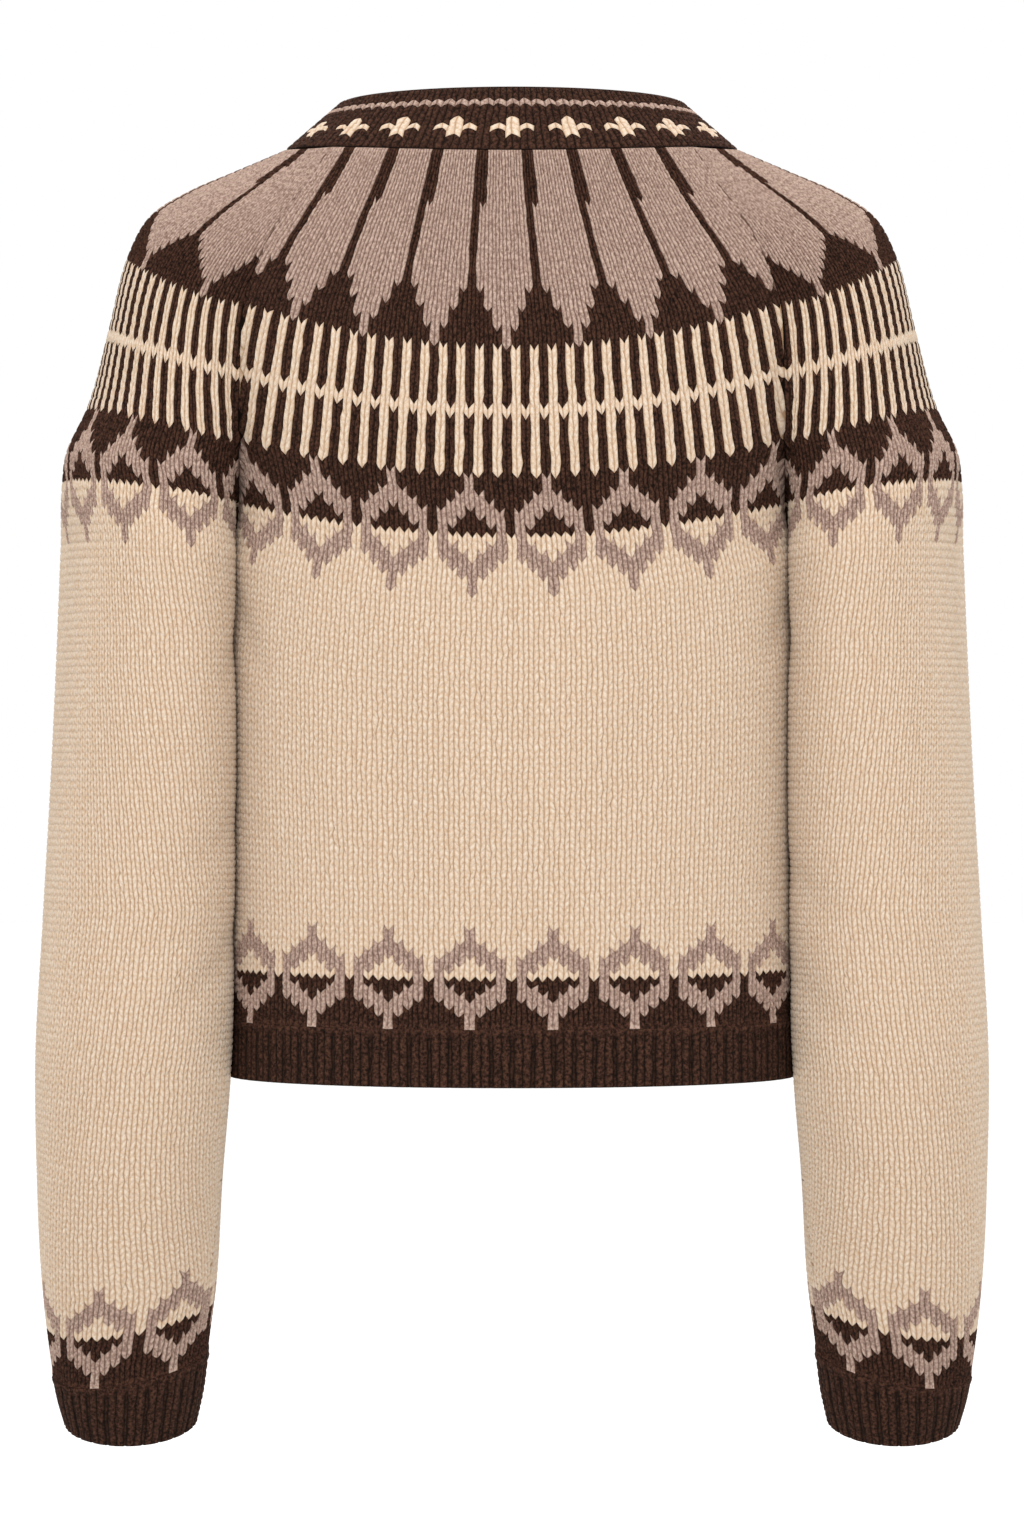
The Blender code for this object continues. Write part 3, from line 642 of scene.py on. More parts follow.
def creased(courses, grid, facing, creases, tube=False):
    """The cloth with its creases, each deepest half way. A crease in a tube may cross its seam."""
    length = np.linalg.norm(np.diff(grid, axis=1), axis=2).sum(axis=1)[:, None]
    share = np.linspace(0, 1, grid.shape[1])[None]
    course = np.array(courses, float)[:, None]
    lift = np.zeros(grid.shape[:2])
    for height, width, start, end in creases:
        for lap in (-1, 0, 1) if tube else (0,):
            across, down = (share + lap - start[0]) * length, (course - start[1]) * COURSE_HEIGHT
            run_across, run_down = (end[0] - start[0]) * length, (end[1] - start[1]) * COURSE_HEIGHT
            part = (across * run_across + down * run_down) / (run_across**2 + run_down**2)
            part = np.clip(part, 0, 1)
            off = np.hypot(across - part * run_across, down - part * run_down)
            lift += height * np.sin(math.pi * part) ** CREASE_POWER * np.exp(-((off / width) ** 2))
    return grid + lift[..., None] * facing


def mirror_cloth(cloth):
    return Cloth(cloth.courses, mirrored(cloth.grid), mirrored(cloth.facing))


# What a point of a knitted piece is, and how much painted shade it gets for how deep in a groove it lies
RIDGE, CORNER, INSIDE, CROSSING, SUNK = range(5)
GROOVE_SHADES = np.array([0.0, 1.0, 0.0, 0.42, 0.6])


def plain_lines(first, last):
    """The edges and middles of plain stitches first to last, stitch 0 in the middle."""
    steps = np.arange(2 * (last - first) + 3)
    middle = steps % 2 == 1
    return {
        "place": first - 0.5 + steps / 2,
        "shear": np.where(middle, SHEAR, -SHEAR),
        "base": np.full(len(steps), LEG_BASE),
        "rise": LEG_RISE,
        "kind": CORNER,
        "stitch": first + steps[:-1] // 2,
        "leg": np.full(len(steps) - 1, True),
    }


def rib_lines(first, last):
    """Ribs from first to last: a sunk line, then a wale of legs between its two edges."""
    count = last - first
    place = (first + np.arange(count)[:, None] + np.array(RIB_ACROSS)).ravel()
    heights = [RIB_GROOVE, RIB_BASE, RIB_BASE + RIB_CROWN, RIB_BASE]
    return {
        "place": np.append(place, last),
        "shear": np.append(np.tile([0.0, SHEAR, -SHEAR, SHEAR], count), 0.0),
        "base": np.append(np.tile(heights, count), RIB_GROOVE),
        "rise": RIB_LEG_RISE,
        "kind": np.append(np.tile([SUNK, CORNER, CORNER, CORNER], count), SUNK),
        "stitch": first + np.arange(4 * count) // 4,
        "leg": np.tile([False, True, True, False], count),
    }


class Knitting:
    """The mesh of a knitted piece: its stitches, a plain inner skin and the edges between them."""

    def __init__(self, cloth, share_of, turn_of=None):
        self.cloth = cloth
        self.share_of = share_of
        self.turn_of = turn_of
        self.points = []
        self.kinds = []
        self.random = np.random.default_rng(HEM_EDGE)
        self.faces = []
        self.yarns = []
        self.count = 0
        self.flip = cloth.turns_left()
        self.below = None

    def add_points(self, points, kind):
        flat = points.reshape(-1, 3)
        index = np.arange(self.count, self.count + len(flat)).reshape(points.shape[:-1])
        self.points.append(flat)
        self.kinds.append(np.broadcast_to(kind, index.shape).ravel())
        self.count += len(flat)
        return index

    def add_faces(self, corners, yarn):
        faces = np.stack([np.asarray(corner).ravel() for corner in corners], axis=1)
        self.faces.append(faces[:, ::-1] if self.flip else faces)
        self.yarns.append(np.broadcast_to(yarn, np.asarray(corners[0]).shape).ravel())

    def spot(self, place, course, height, row):
        """Points at places in rows. What lies past a seam is brought back to it, level with its row."""
        share = self.share_of(place, course)
        past = (share <= NEARLY) | (share >= 1 - NEARLY)
        course = np.where(past, np.broadcast_to(row, past.shape), course)
        height = np.where(past, LEG_BASE, height)
        return self.read(np.clip(share, 0, 1), course, height)

    def read(self, share, course, height):
        """Points of the cloth. A sleeve's stitches turn round it with its seam, and beside the seam they
        are drawn out and up."""
        if self.turn_of is not None:
            turn = self.turn_of(course)
            drawn_out = counted(DRAWN_OUT)(course) * np.sin(2 * math.pi * share) / (2 * math.pi)
            share = share + np.maximum(drawn_out, -DRAWN_OUT_IN_FRONT * drawn_out)
            beside = (0.5 + 0.5 * np.cos(2 * math.pi * share)) ** DRAWN_UP_POWER
            course = course - counted(DRAWN_UP)(course) * beside
            share = np.where(turn > 0, (share + turn) % 1, share)
        return self.cloth.at(share, course, height)

    def rows(self, first, last, lines, yarn_of, scale=None, meets=None):
        """Stitches on the rows from course first to last. yarn_of gives a yarn for (row, stitch), and
        meets is the level, 0 or -1, where other stitches follow on."""
        marks = np.arange(first, last + 1) if scale is None else np.asarray(scale)
        rows = len(marks) - 1
        level = np.arange(rows + 1)[:, None]
        inner = (level > 0) & (level < rows)
        strays = inner * self.random.normal(0, UNEVEN, (2, rows + 1, len(lines["place"])))
        strays[:, :, [0, -1]] = 0.0
        place = lines["place"] + strays[0]
        steps = level + np.where(inner, lines["shear"], 0.0) + strays[1]
        base = np.broadcast_to(lines["base"], steps.shape).copy()
        kind = np.broadcast_to(lines["kind"], steps.shape).copy()
        if meets is not None:
            base[meets] += MEETING_LIFT
            kind[meets] = CROSSING
        straight = np.interp(level, np.arange(rows + 1), marks)

        def knit(place, steps, height, straight, kind):
            course = np.interp(steps, np.arange(rows + 1), marks)
            return self.add_points(self.spot(place, course, height, straight), kind)

        corners = knit(place, steps, base, straight, kind)
        yarn = np.array([[yarn_of(row, int(s)) for s in lines["stitch"]] for row in range(rows)])
        tl, tr = corners[:-1, :-1], corners[:-1, 1:]
        bl, br = corners[1:, :-1], corners[1:, 1:]
        plain = ~lines["leg"]
        if plain.any():
            for face in ((tl, tr, br), (tl, br, bl)):
                self.add_faces([corner[:, plain] for corner in face], yarn[:, plain])
        for rightward in (True, False):
            leg = lines["leg"] & ((np.diff(lines["shear"]) > 0) == rightward)
            if not leg.any():
                continue

            def across(values, share, leg=leg):
                return values[:, :-1][:, leg] * (1 - share) + values[:, 1:][:, leg] * share

            def inside(values, down, share):
                line = across(values, share)
                return line[:-1] * (1 - down) + line[1:] * down

            bridge = corners[:, 1:][:, leg].copy()
            crossing = [across(values, 0.5)[1:-1] for values in (place, steps, base)]
            crossing[2] = crossing[2] + BRIDGE * lines["rise"]
            bridge[1:-1] = knit(*crossing, straight[1:-1], CROSSING)
            ridge = []
            for down, share in ((RIDGE_DOWN, RIDGE_ACROSS), (1 - RIDGE_DOWN, 1 - RIDGE_ACROSS)):
                share = share if rightward else 1 - share
                spot = [inside(values, down, share) for values in (place, steps, base)]
                spot[2] = spot[2] + lines["rise"]
                ridge.append(knit(*spot, straight[:-1], RIDGE))
            up, dn = ridge
            a, b, c, d = tl[:, leg], tr[:, leg], br[:, leg], bl[:, leg]
            t, m = bridge[:-1], bridge[1:]
            ends = ((a, t, up), (t, b, up), (c, m, dn), (m, d, dn))
            if rightward:
                sides = ((b, c, dn), (d, a, up), (b, dn, up), (dn, d, up))
            else:
                sides = ((b, c, up), (d, a, dn), (c, dn, up), (dn, a, up))
            for fan in ends + sides:
                self.add_faces(fan, yarn[:, leg])
        if self.below is not None:
            self.join(*self.below, corners[0], self.place_of(lines["place"], first), yarn[0, 0])
        self.below = (corners[-1], self.place_of(lines["place"], last))
        return corners

    def join(self, upper, upper_at, lower, lower_at, yarn):
        """Faces between two lines of different points, at the given places along them."""
        corners = []
        i = j = 0
        while i < len(upper) - 1 or j < len(lower) - 1:
            ahead = upper_at[i + 1] if i < len(upper) - 1 else np.inf
            below = lower_at[j + 1] if j < len(lower) - 1 else np.inf
            if ahead <= below:
                corners.append((upper[i], upper[i + 1], lower[j]))
                i += 1
            else:
                corners.append((upper[i], lower[j + 1], lower[j]))
                j += 1
        self.add_faces(np.array(corners).T, yarn)

    def place_of(self, place, course):
        return np.clip(self.share_of(place, np.full(place.shape, float(course))), 0, 1)

    def strip(self, upper, lower, yarn):
        """Faces between two lines of as many points."""
        upper, lower = np.asarray(upper), np.asarray(lower)
        self.add_faces((upper[:-1], upper[1:], lower[1:]), yarn)
        self.add_faces((upper[:-1], lower[1:], lower[:-1]), yarn)

    def lining(self, courses, columns, depth, yarn_at):
        """The plain inner skin, facing into the garment."""
        share = np.linspace(0, 1, columns)[None]
        course = np.array(courses, float)[:, None]
        skin = self.add_points(self.read(share, course, np.array(-depth)), INSIDE)
        for row, (upper, lower) in enumerate(zip(skin, skin[1:])):
            self.strip(lower, upper, yarn_at(courses[row]))
        return skin

    def rim(self, edge, place, course, depth, yarn, skin_row, top=False):
        """The thickness of the cloth under one of its edges, joined to a row of the inner skin."""
        share = self.place_of(place, course)
        under = self.add_points(self.read(share, np.array(float(course)), np.array(-depth)), INSIDE)
        skin_at = np.linspace(0, 1, len(skin_row))
        if top:
            self.strip(under, edge, yarn)
            self.join(skin_row, skin_at, under, share, yarn)
        else:
            self.strip(edge, under, yarn)
            self.join(under, share, skin_row, skin_at, yarn)

    def seam_rims(self, courses, depth, yarn_at, skin, skin_courses):
        """The thickness of the cloth down both sides of an open panel."""
        course = np.array(courses, float)
        for share, left in ((0.0, True), (1.0, False)):
            outer = self.add_points(self.cloth.at(np.array(share), course, np.array(LEG_BASE)), CORNER)
            under = self.add_points(self.cloth.at(np.array(share), course, np.array(-depth)), INSIDE)
            pair = (outer, under) if left else (under, outer)
            for row in range(len(courses) - 1):
                ends = [line[row : row + 2] for line in pair]
                self.strip(*ends, yarn_at(courses[row]))
            inner = skin[:, 0 if left else -1]
            if left:
                self.join(under, course, inner, skin_courses, yarn_at(courses[0]))
            else:
                self.join(inner, skin_courses, under, course, yarn_at(courses[0]))

    def object(self, name, yarns):
        """The finished piece, its points merged where rows meet."""
        points = np.concatenate(self.points)
        kinds = np.concatenate(self.kinds)
        faces = np.concatenate(self.faces)
        yarn = np.concatenate(self.yarns)
        _, kept, merged = np.unique(np.round(points, 3), axis=0, return_index=True, return_inverse=True)
        faces = merged.ravel()[faces]
        whole = (
            (faces[:, 0] != faces[:, 1]) & (faces[:, 1] != faces[:, 2]) & (faces[:, 0] != faces[:, 2])
        )
        faces, yarn = faces[whole], yarn[whole]
        points, kinds = points[kept], kinds[kept]
        mesh = bpy.data.meshes.new(name)
        mesh.from_pydata((points * MM).tolist(), [], faces.tolist())
        mesh.shade_smooth()
        mesh.polygons.foreach_set("material_index", yarn.astype(np.int32))
        # Painted shade: how far each point's colour is darkened for lying between the stitches
        groove_shade = mesh.attributes.new("groove_shade", "FLOAT", "POINT")
        groove_shade.data.foreach_set("value", GROOVE_SHADES[kinds].astype(np.float32))
        ends = np.empty(2 * len(mesh.edges), np.int32)
        mesh.edges.foreach_get("vertices", ends)
        between = np.isin(kinds[ends.reshape(-1, 2)], (CORNER, INSIDE, SUNK)).all(axis=1)
        sharp = mesh.attributes.new("sharp_edge", "BOOLEAN", "EDGE")
        sharp.data.foreach_set("value", between)
        for material in yarns:
            mesh.materials.append(material)
        piece = bpy.data.objects.new(name, mesh)
        bpy.context.scene.collection.objects.link(piece)
        return piece


def yarn(letter):
    return YARN_ORDER.index(letter)


def pattern_yarn(course, stitch, panel):
    """The yarn of a stitch of the body or a sleeve, from the neck seam down to the ribs."""
    ogive_middle, border_middle = OGIVE_MIDDLES[panel]
    if course < STRIPES_FROM:
        repeat = PETAL_REPEAT[panel]
        width = max((start, width) for start, width in PETAL_WIDTH[panel].items() if start <= course)[1]
        away = (stitch + repeat // 2) % repeat - repeat // 2 - (0.5 if width % 2 == 0 else 0.0)
        return yarn("G" if abs(away) < width / 2 else "B")
    if course < OGIVE_FROM:
        return yarn("C" if course == STRIPES_ACROSS or stitch % 2 else "B")
    if course < UNDERARM:
        chart = OGIVE[course - OGIVE_FROM]
        return yarn(chart[(stitch - ogive_middle + OGIVE_TIP) % len(chart)])
    if course < BORDER_FROM[panel]:
        return yarn("C")
    chart = OGIVE[course - BORDER_FROM[panel]]
    border = chart[(stitch - border_middle + OGIVE_TIP) % len(chart)]
    return yarn({"B": "C", "C": "B"}.get(border, border))


def body_stitches(knitting, lines):
    """The stitches of the back or a front, from the neck seam down to the hem's ribs."""
    def chosen(row, stitch):
        return pattern_yarn(row, stitch, "body")

    return {"edge": knitting.rows(0, HEM_RIB_TOP, lines, chosen, meets=-1)[0], "place": lines["place"]}


def hem_ribs(knitting, table, ribs, start, lean):
    """The ribs of the hem, even along its length from the given share of it to the side."""
    hem = rib_lines(0, ribs)
    along, share = measured(body_row(table, HEM_EDGE), counted(SPREAD)(HEM_EDGE))
    reach = start + (1 - start) * hem["place"] / ribs
    reach[-1] = 1 + PAST_EDGE
    reach[0] = start - PAST_EDGE
    past = np.sign(reach) * np.maximum(np.abs(reach) - 1, 0)
    spread = np.sign(reach) * np.interp(np.abs(reach), along / along[-1], share) + past
    hem["place"] = spread * counted(HALF_BACK)(HEM_EDGE) - lean
    edge = knitting.rows(HEM_RIB_TOP, HEM_EDGE, hem, lambda row, s: yarn("B"), meets=0)[-1]
    return {"edge": edge, "place": hem["place"]}


def body_lining_yarn(course):
    return yarn("B" if course < UNDERARM or course >= BORDER_FROM["body"] + OGIVE_DARK else "C")


def finish_body(knitting, top, bottom, columns):
    """The lining of the back or a front, and the thickness of its edges."""
    courses = list(range(0, HEM_EDGE, LINING_STEP)) + [HEM_EDGE]
    skin = knitting.lining(courses, columns, WALL, body_lining_yarn)
    knitting.rim(top["edge"], top["place"], 0, WALL, yarn("B"), skin[0], top=True)
    knitting.rim(bottom["edge"], bottom["place"], HEM_EDGE, WALL, yarn("B"), skin[-1])
    knitting.seam_rims(list(range(HEM_EDGE + 1)), WALL, body_lining_yarn, skin, courses)


def make_back(yarns):
    courses = list(range(HEM_EDGE + 1))
    grid, facing = back_grid(courses)
    facing[0] = [neck_facing(point) for point in grid[0]]
    half, lean = counted(HALF_BACK), counted(BACK_LEAN)
    grid = sunk_seam(courses, grid, facing, (0, -1))
    cloth = Cloth(courses, creased(courses, grid, facing, CREASES["back"]), facing)
    knitting = Knitting(cloth, lambda place, c: 0.5 + (place + lean(c)) / (2 * half(c)))
    top = body_stitches(knitting, plain_lines(*BACK_STITCHES))
    bottom = hem_ribs(knitting, BACK, RIBS_ON_BACK, -1.0, lean(HEM_EDGE))
    finish_body(knitting, top, bottom, LINING_ACROSS["back"])
    return knitting.object("back_knit", yarns)


def make_front(name, right, yarns):
    courses = list(range(HEM_EDGE + 1))
    grid, facing = front_grid(courses, lifted=right)
    facing[0] = [neck_facing(point) for point in grid[0]]
    grid = sunk_seam(courses, grid, facing, (-1,))
    creases = CREASES["right_front" if right else "left_front"]
    cloth = Cloth(courses, creased(courses, grid, facing, creases), facing)
    if right:
        cloth = mirror_cloth(cloth)
    half = counted(HALF_BACK)
    starts = counted([(course, front_start(course)[1]) for course in courses])
    knitting = Knitting(cloth, lambda place, c: (place / half(c) - starts(c)) / (1 - starts(c)))
    top = body_stitches(knitting, plain_lines(*FRONT_STITCHES))
    cut, _ = front_start(HEM_EDGE)
    length = measured(body_row(FRONT, HEM_EDGE))[0][-1]
    bottom = hem_ribs(knitting, FRONT, RIBS_ON_FRONT, cut / length, 0.0)
    finish_body(knitting, top, bottom, LINING_ACROSS["front"])
    return knitting.object(name, yarns)


def make_sleeve(name, right, yarns):
    courses = list(range(CUFF_EDGE + 1))
    grid, facing = sleeve_grid(courses)
    facing[0] = [neck_facing(point) for point in grid[0]]
    grid = sunk_seam(courses, grid, facing, (0, -1))
    creases = CREASES["right_sleeve" if right else "left_sleeve"]
    cloth = Cloth(courses, creased(courses, grid, facing, creases, tube=True), facing)
    if right:
        cloth = mirror_cloth(cloth)
    total, seam_turn = counted(SLEEVE_ROUND), counted(SEAM_TURN)
    knitting = Knitting(cloth, lambda place, c: 0.5 + place / total(c), seam_turn)
    most = math.ceil(total(UNDERARM) / 2)
    lines = plain_lines(-most, most)

    def chosen(row, stitch):
        return pattern_yarn(row, stitch, "sleeve")

    top = knitting.rows(0, CUFF_RIB_TOP, lines, chosen, meets=-1)[0]
    cuff = rib_lines(-RIBS_ON_CUFF // 2, RIBS_ON_CUFF // 2)
    cuff["place"] = cuff["place"] * total(CUFF_EDGE) / RIBS_ON_CUFF
    edge = knitting.rows(CUFF_RIB_TOP, CUFF_EDGE, cuff, lambda row, s: yarn("B"), meets=0)[-1]
    columns = LINING_ACROSS["sleeve"]
    steps = list(range(0, UNDERARM + 1, LINING_STEP))
    skin = knitting.lining(steps, columns, WALL, lambda course: yarn("B"))
    knitting.rim(top, lines["place"], 0, WALL, yarn("B"), skin[0], top=True)
    knitting.seam_rims(list(range(UNDERARM + 1)), WALL, lambda course: yarn("B"), skin, steps)
    steps = list(range(UNDERARM, CUFF_EDGE, LONG_LINING_STEP)) + [CUFF_EDGE]
    dark = BORDER_FROM["sleeve"] + OGIVE_DARK
    skin = knitting.lining(steps, columns, WALL, lambda course: yarn("B" if course >= dark else "C"))
    knitting.rim(edge, cuff["place"], CUFF_EDGE, WALL, yarn("B"), skin[-1])
    return knitting.object(name, yarns)


def neckband_grid(shares):
    """Rows from the neck seam up to the fold, from the left band round the back to the right."""
    places = np.linspace(0, 1, STEPS_ACROSS["neckband"] + 1)
    rows = []
    for share in shares:
        limits = [
            math.pi - math.asin((BAND_HALF_WIDTH + SEAM_GAP) / ring["half_width"])
            for ring in (NECK_SEAM, NECK_TOP)
        ]
        limit = limits[0] + (limits[1] - limits[0]) * share
        climb = NECK_LIFT + share * (1 - NECK_LIFT)
        row = []
        for angle in np.linspace(limit, -limit, ROW_SAMPLES):
            low, high = ring_point(NECK_SEAM, angle), ring_point(NECK_TOP, angle)
            point = low + (high - low) * climb
            if math.sin(angle) < 0 and math.cos(angle) < 0:
                rise = OVERLAP_LIFT * ease(1 - (-point[0] - BAND_HALF_WIDTH) / LIFT_RUN)
                point = point + rise * band_facing(BAND_TOP * share)
            row.append(point)
        rows.append(spaced(np.array(row), places))
    grid, headings = grid_of(rows)
    return grid, facing_of(grid, headings)


def make_neckband(yarns):
    shares = np.linspace(0, 1, NECKBAND_STEPS)
    grid, facing = neckband_grid(shares)
    facing[0] = [neck_facing(point) for point in grid[0]]
    knitting = Knitting(Cloth(shares, grid, facing), lambda place, c: place / RIBS_ON_NECKBAND + 0 * c)
    middle = RIBS_ON_NECKBAND // 2
    lines = plain_lines(0, RIBS_ON_NECKBAND - 1)
    lines["place"] = lines["place"] + 0.5
    lines["shear"] = lines["shear"] * BAND_SHEAR / SHEAR

    def chosen(row, rib):
        chart = NECKBAND_CHART.get(row, "BBBB")
        return yarn(chart[(rib - middle + 1) % len(chart)])

    corners = knitting.rows(0, 0, lines, chosen, scale=NECKBAND_ROWS)
    steps = shares[::LINING_STEP].tolist()
    skin = knitting.lining(steps, LINING_ACROSS["neckband"], NECKBAND_WALL, lambda c: yarn("B"))
    knitting.rim(corners[0], lines["place"], 0, NECKBAND_WALL, yarn("B"), skin[0], top=True)
    knitting.seam_rims(list(NECKBAND_ROWS), NECKBAND_WALL, lambda c: yarn("B"), skin, steps)
    crown = [corners[-1]]
    share = lines["place"] / RIBS_ON_NECKBAND
    for lift, depth in NECK_FOLD:
        over = knitting.cloth.at(share, np.array(1.0), np.array(-depth))
        over[:, 2] += lift
        crown.append(knitting.add_points(over, RIDGE if depth < NECKBAND_WALL else INSIDE))
    for lower, upper in zip(crown, crown[1:]):
        knitting.strip(lower, upper, yarn("B"))
    knitting.join(crown[-1], share, skin[-1], np.linspace(0, 1, skin.shape[1]), yarn("B"))
    for end in (0, -1):
        ends = [line[end] for line in crown]
        for near, far in zip(ends[1:], ends[2:]):
            knitting.add_faces([np.array([corner]) for corner in (ends[0], near, far)], yarn("B"))
    return knitting.object("neckband_knit", yarns)


def make_band(name, lift, yarns):
    """A button band, lifted off the front by the given height, and the cloth that it is knitted on."""
    side = BAND_HALF_WIDTH - SEAM_GAP / 2
    across = np.linspace(side, -side, STEPS_ACROSS["band"] + 1)
    courses = list(range(BAND_TOP, HEM_EDGE + 1))
    grid, facing = [], []
    for course in courses:
        row = body_row(FRONT, course)
        out = band_facing(course)
        y, z = (np.interp(np.abs(across), row[:, 0], row[:, axis]) for axis in (1, 2))
        grid.append(np.stack([across, y, z], axis=1) + lift * out)
        facing.append(np.tile(out, (len(across), 1)))
    cloth = Cloth(courses, np.array(grid), np.array(facing))
    knitting = Knitting(cloth, lambda place, c: place / BAND_RIBS + 0 * c)
    lines = rib_lines(0, BAND_RIBS)
    corners = knitting.rows(BAND_TOP, HEM_EDGE, lines, lambda row, s: yarn("B"))
    steps = courses[::LONG_LINING_STEP]
    skin = knitting.lining(steps, LINING_ACROSS["band"], WALL, lambda c: yarn("B"))
    knitting.rim(corners[0], lines["place"], BAND_TOP, WALL, yarn("B"), skin[0], top=True)
    knitting.rim(corners[-1], lines["place"], HEM_EDGE, WALL, yarn("B"), skin[-1])
    knitting.seam_rims(courses, WALL, lambda c: yarn("B"), skin, steps)
    return knitting.object(name, yarns), cloth


def node(tree, kind, sockets=(), **settings):
    """A new node with its settings, then the values of its sockets."""
    made = tree.nodes.new(kind)
    for name, value in settings.items():
        setattr(made, name, value)
    for name, value in sockets:
        made.inputs[name].default_value = value
    return made


def finish_of(name, sockets):
    """A new material, its node tree and its shader, with the values of the shader's own sockets."""
    material = bpy.data.materials.new(name)
    material.use_nodes = True
    shader = material.node_tree.nodes["Principled BSDF"]
    for socket, value in sockets:
        shader.inputs[socket].default_value = value
    return material, material.node_tree, shader


def two_tones(tree, deep, light, ends=(0.0, 1.0)):
    """A ramp from a deep to a light tone between the two given values."""
    tones = node(tree, "ShaderNodeValToRGB")
    for stop, at, tone in zip(tones.color_ramp.elements, ends, (deep, light)):
        stop.position = at
        stop.color = tone
    return tones


def yarn_finish(name):
    """Wool: a heather of two tones, painted darker between the stitches as shade, with fine fibres as bump
    and sheen.
    """
    deep, light, groove_shade, sheen = YARNS[name]
    material, tree, shader = finish_of(name, (
        ("Roughness", 0.92), ("Specular IOR Level", 0.08),
        ("Sheen Weight", sheen), ("Sheen Roughness", 0.5), ("Sheen Tint", light),
    ))
    link = tree.links.new
    place = node(tree, "ShaderNodeTexCoord")
    fleck = node(tree, "ShaderNodeTexNoise", (("Scale", 650.0), ("Detail", 3.0), ("Roughness", 0.7)))
    link(place.outputs["Object"], fleck.inputs["Vector"])
    tones = two_tones(tree, deep, light, (0.38, 0.62))
    link(fleck.outputs["Fac"], tones.inputs["Fac"])
    # Painted shade: the heather is mixed towards each yarn's darker shade tone between the stitches
    depth = node(tree, "ShaderNodeAttribute", attribute_name="groove_shade")
    sharpen = node(tree, "ShaderNodeMath", operation="POWER")
    sharpen.inputs[1].default_value = GROOVE_SHADE_POWER
    link(depth.outputs["Fac"], sharpen.inputs[0])
    shade = node(tree, "ShaderNodeMix", (("B", groove_shade),), data_type="RGBA")
    link(sharpen.outputs["Value"], shade.inputs["Factor"])
    link(tones.outputs["Color"], shade.inputs["A"])
    link(shade.outputs["Result"], shader.inputs["Base Color"])
    fibre = node(tree, "ShaderNodeTexNoise", (("Scale", 2200.0), ("Detail", 2.0)))
    link(place.outputs["Object"], fibre.inputs["Vector"])
    bump = node(tree, "ShaderNodeBump", (("Strength", 0.35), ("Distance", 0.0004)))
    link(fibre.outputs["Fac"], bump.inputs["Height"])
    link(bump.outputs["Normal"], shader.inputs["Normal"])
    return material


def horn_finish():
    """Polished brown horn, clouded."""
    material, tree, shader = finish_of("horn", (("Roughness", 0.32),))
    place = node(tree, "ShaderNodeTexCoord")
    cloud = node(tree, "ShaderNodeTexNoise", (("Scale", 90.0), ("Distortion", 1.5)))
    tree.links.new(place.outputs["Object"], cloud.inputs["Vector"])
    tones = two_tones(tree, (0.045, 0.020, 0.011, 1.0), (0.190, 0.100, 0.055, 1.0))
    tree.links.new(cloud.outputs["Fac"], tones.inputs["Fac"])
    tree.links.new(tones.outputs["Color"], shader.inputs["Base Color"])
    return material


def make_button(number, place, out, horn):
    """A turned button with a raised rim and four holes, on the band where its CAD node is."""
    bpy.ops.object.select_all(action="DESELECT")
    radius, thick = BUTTON_RADIUS * MM, BUTTON_THICKNESS * MM
    bpy.ops.mesh.primitive_cylinder_add(vertices=48, radius=radius, depth=thick, location=(0, 0, thick / 2))
    button = bpy.context.object
    button.name = f"button_{number}_turned"
    bpy.ops.object.mode_set(mode="EDIT")
    bpy.ops.mesh.select_all(action="DESELECT")
    bpy.ops.object.mode_set(mode="OBJECT")
    for polygon in button.data.polygons:
        polygon.select = polygon.normal.z > 0.9
    bpy.ops.object.mode_set(mode="EDIT")
    bpy.ops.mesh.inset(thickness=BUTTON_RIM * MM)
    bpy.ops.mesh.inset(thickness=BUTTON_SLOPE * MM, depth=-BUTTON_SUNK * MM)
    bpy.ops.object.mode_set(mode="OBJECT")
    offset = HOLE_OFFSET * MM
    for corner in ((-offset, -offset, 0), (-offset, offset, 0), (offset, -offset, 0), (offset, offset, 0)):
        bpy.ops.mesh.primitive_cylinder_add(
            vertices=16, radius=HOLE_RADIUS * MM, depth=3 * thick, location=corner
        )
        drill = bpy.context.object
        cut = button.modifiers.new("hole", "BOOLEAN")
        cut.object = drill
        cut.operation = "DIFFERENCE"
        bpy.context.view_layer.objects.active = button
        bpy.ops.object.modifier_apply(modifier="hole")
        bpy.data.objects.remove(drill)
    bpy.ops.object.select_all(action="DESELECT")
    button.select_set(True)
    bpy.context.view_layer.objects.active = button
    round_off = button.modifiers.new("round", "BEVEL")
    round_off.width = BUTTON_ROUNDING * MM
    round_off.segments = 2
    round_off.limit_method = "ANGLE"
    bpy.ops.object.modifier_apply(modifier="round")
    bpy.ops.object.shade_smooth_by_angle(angle=math.radians(40))
    button.location = Vector(place) * MM
    button.rotation_euler = Vector(out).to_track_quat("Z", "Y").to_euler()
    bpy.ops.object.transform_apply(location=True, rotation=True, scale=True)
    button.data.materials.append(horn)
    return button


def make_floor():
    """A pale floor below the garment."""
    bpy.ops.object.select_all(action="DESELECT")
    bpy.ops.mesh.primitive_plane_add(size=FLOOR_SIZE, location=(0, 0, FLOOR_LEVEL))
    floor = bpy.context.object
    floor.name = "floor"
    paper, _, _ = finish_of("paper", (
        ("Base Color", (0.45, 0.45, 0.45, 1.0)), ("Roughness", 0.9),
        ("Emission Color", (1.0, 1.0, 1.0, 1.0)), ("Emission Strength", 0.56),
    ))
    floor.data.materials.append(paper)


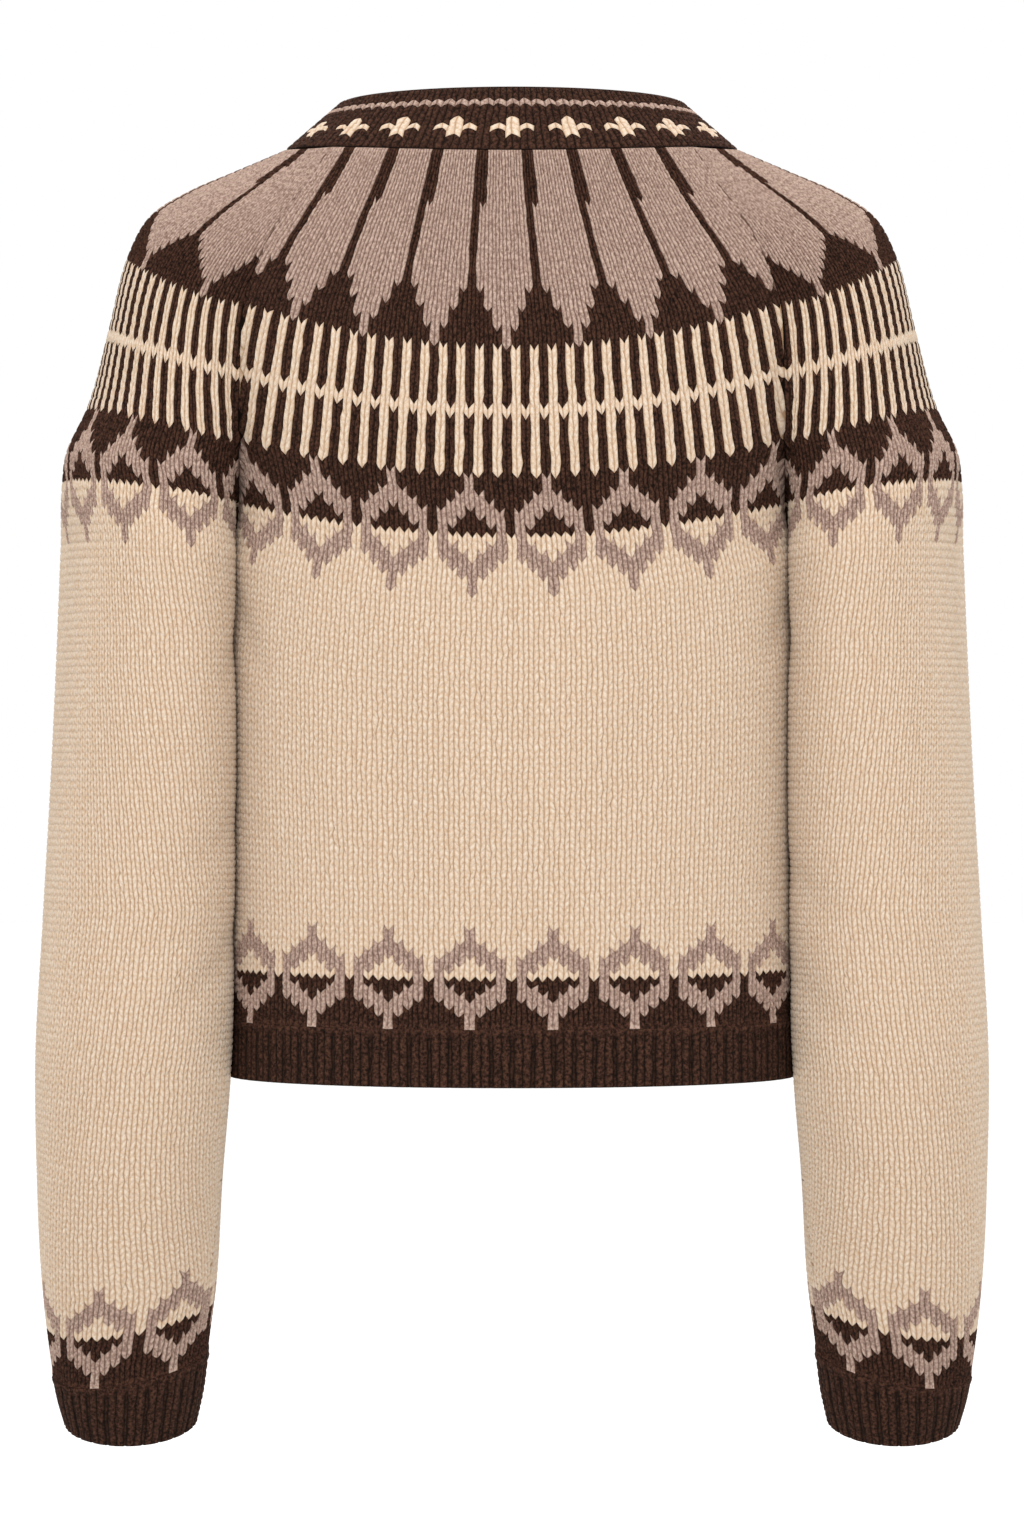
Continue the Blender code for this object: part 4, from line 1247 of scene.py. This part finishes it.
def make_light():
    """White light all round and two large soft lamps, behind the garment and before it."""
    world = bpy.data.worlds.new("studio")
    world.use_nodes = True
    world.node_tree.nodes["Background"].inputs["Color"].default_value = (1.0, 1.0, 1.0, 1.0)
    world.node_tree.nodes["Background"].inputs["Strength"].default_value = 1.0
    bpy.context.scene.world = world
    bpy.context.scene.view_settings.view_transform = "Standard"
    for name, place in LAMPS.items():
        light = bpy.data.lights.new(name, "AREA")
        light.size = LAMP_SIZE
        light.energy = LAMP_POWER
        lamp = bpy.data.objects.new(name, light)
        lamp.location = place
        lamp.rotation_euler = (Vector(place) - Vector(LAMPS_AIM_AT)).to_track_quat("Z", "Y").to_euler()
        bpy.context.scene.collection.objects.link(lamp)


def make_camera():
    """The camera where the photograph was taken, behind the garment and level with its middle."""
    camera = bpy.data.cameras.new("camera")
    camera.sensor_fit = "VERTICAL"
    camera.sensor_height = SENSOR_HEIGHT
    camera.lens = SENSOR_HEIGHT * CAMERA_DISTANCE / VIEW_HEIGHT
    camera.clip_end = 100.0
    eye = bpy.data.objects.new("camera", camera)
    eye.location = (0.0, CAMERA_DISTANCE, CAMERA_LEVEL)
    eye.rotation_euler = (math.pi / 2, 0.0, math.pi)
    bpy.context.scene.collection.objects.link(eye)
    bpy.context.scene.camera = eye


def main():
    yarns = [yarn_finish(name) for name in YARNS]
    left_band, _ = make_band("left_band_knit", 0.0, yarns)
    right_band, band_cloth = make_band("right_band_knit", OVERLAP_LIFT, yarns)
    pieces = {
        "back": make_back(yarns),
        "left_front": make_front("left_front_knit", False, yarns),
        "right_front": make_front("right_front_knit", True, yarns),
        "left_sleeve": make_sleeve("left_sleeve_knit", False, yarns),
        "right_sleeve": make_sleeve("right_sleeve_knit", True, yarns),
        "neckband": make_neckband(yarns),
        "left_button_band": left_band,
        "right_button_band": right_band,
    }
    for node_name, piece in pieces.items():
        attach(piece, "root")
        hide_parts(node_name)
    horn = horn_finish()
    middle, height = np.array(0.5), np.array(BAND_RISE + BUTTON_STAND)
    for number, course in enumerate(BUTTON_COURSES, start=1):
        place = band_cloth.at(middle, np.array(float(course)), height)
        button = make_button(number, place, band_facing(course), horn)
        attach(button, "root")
        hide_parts(f"button_{number}")
    make_floor()
    make_light()
    make_camera()


main()
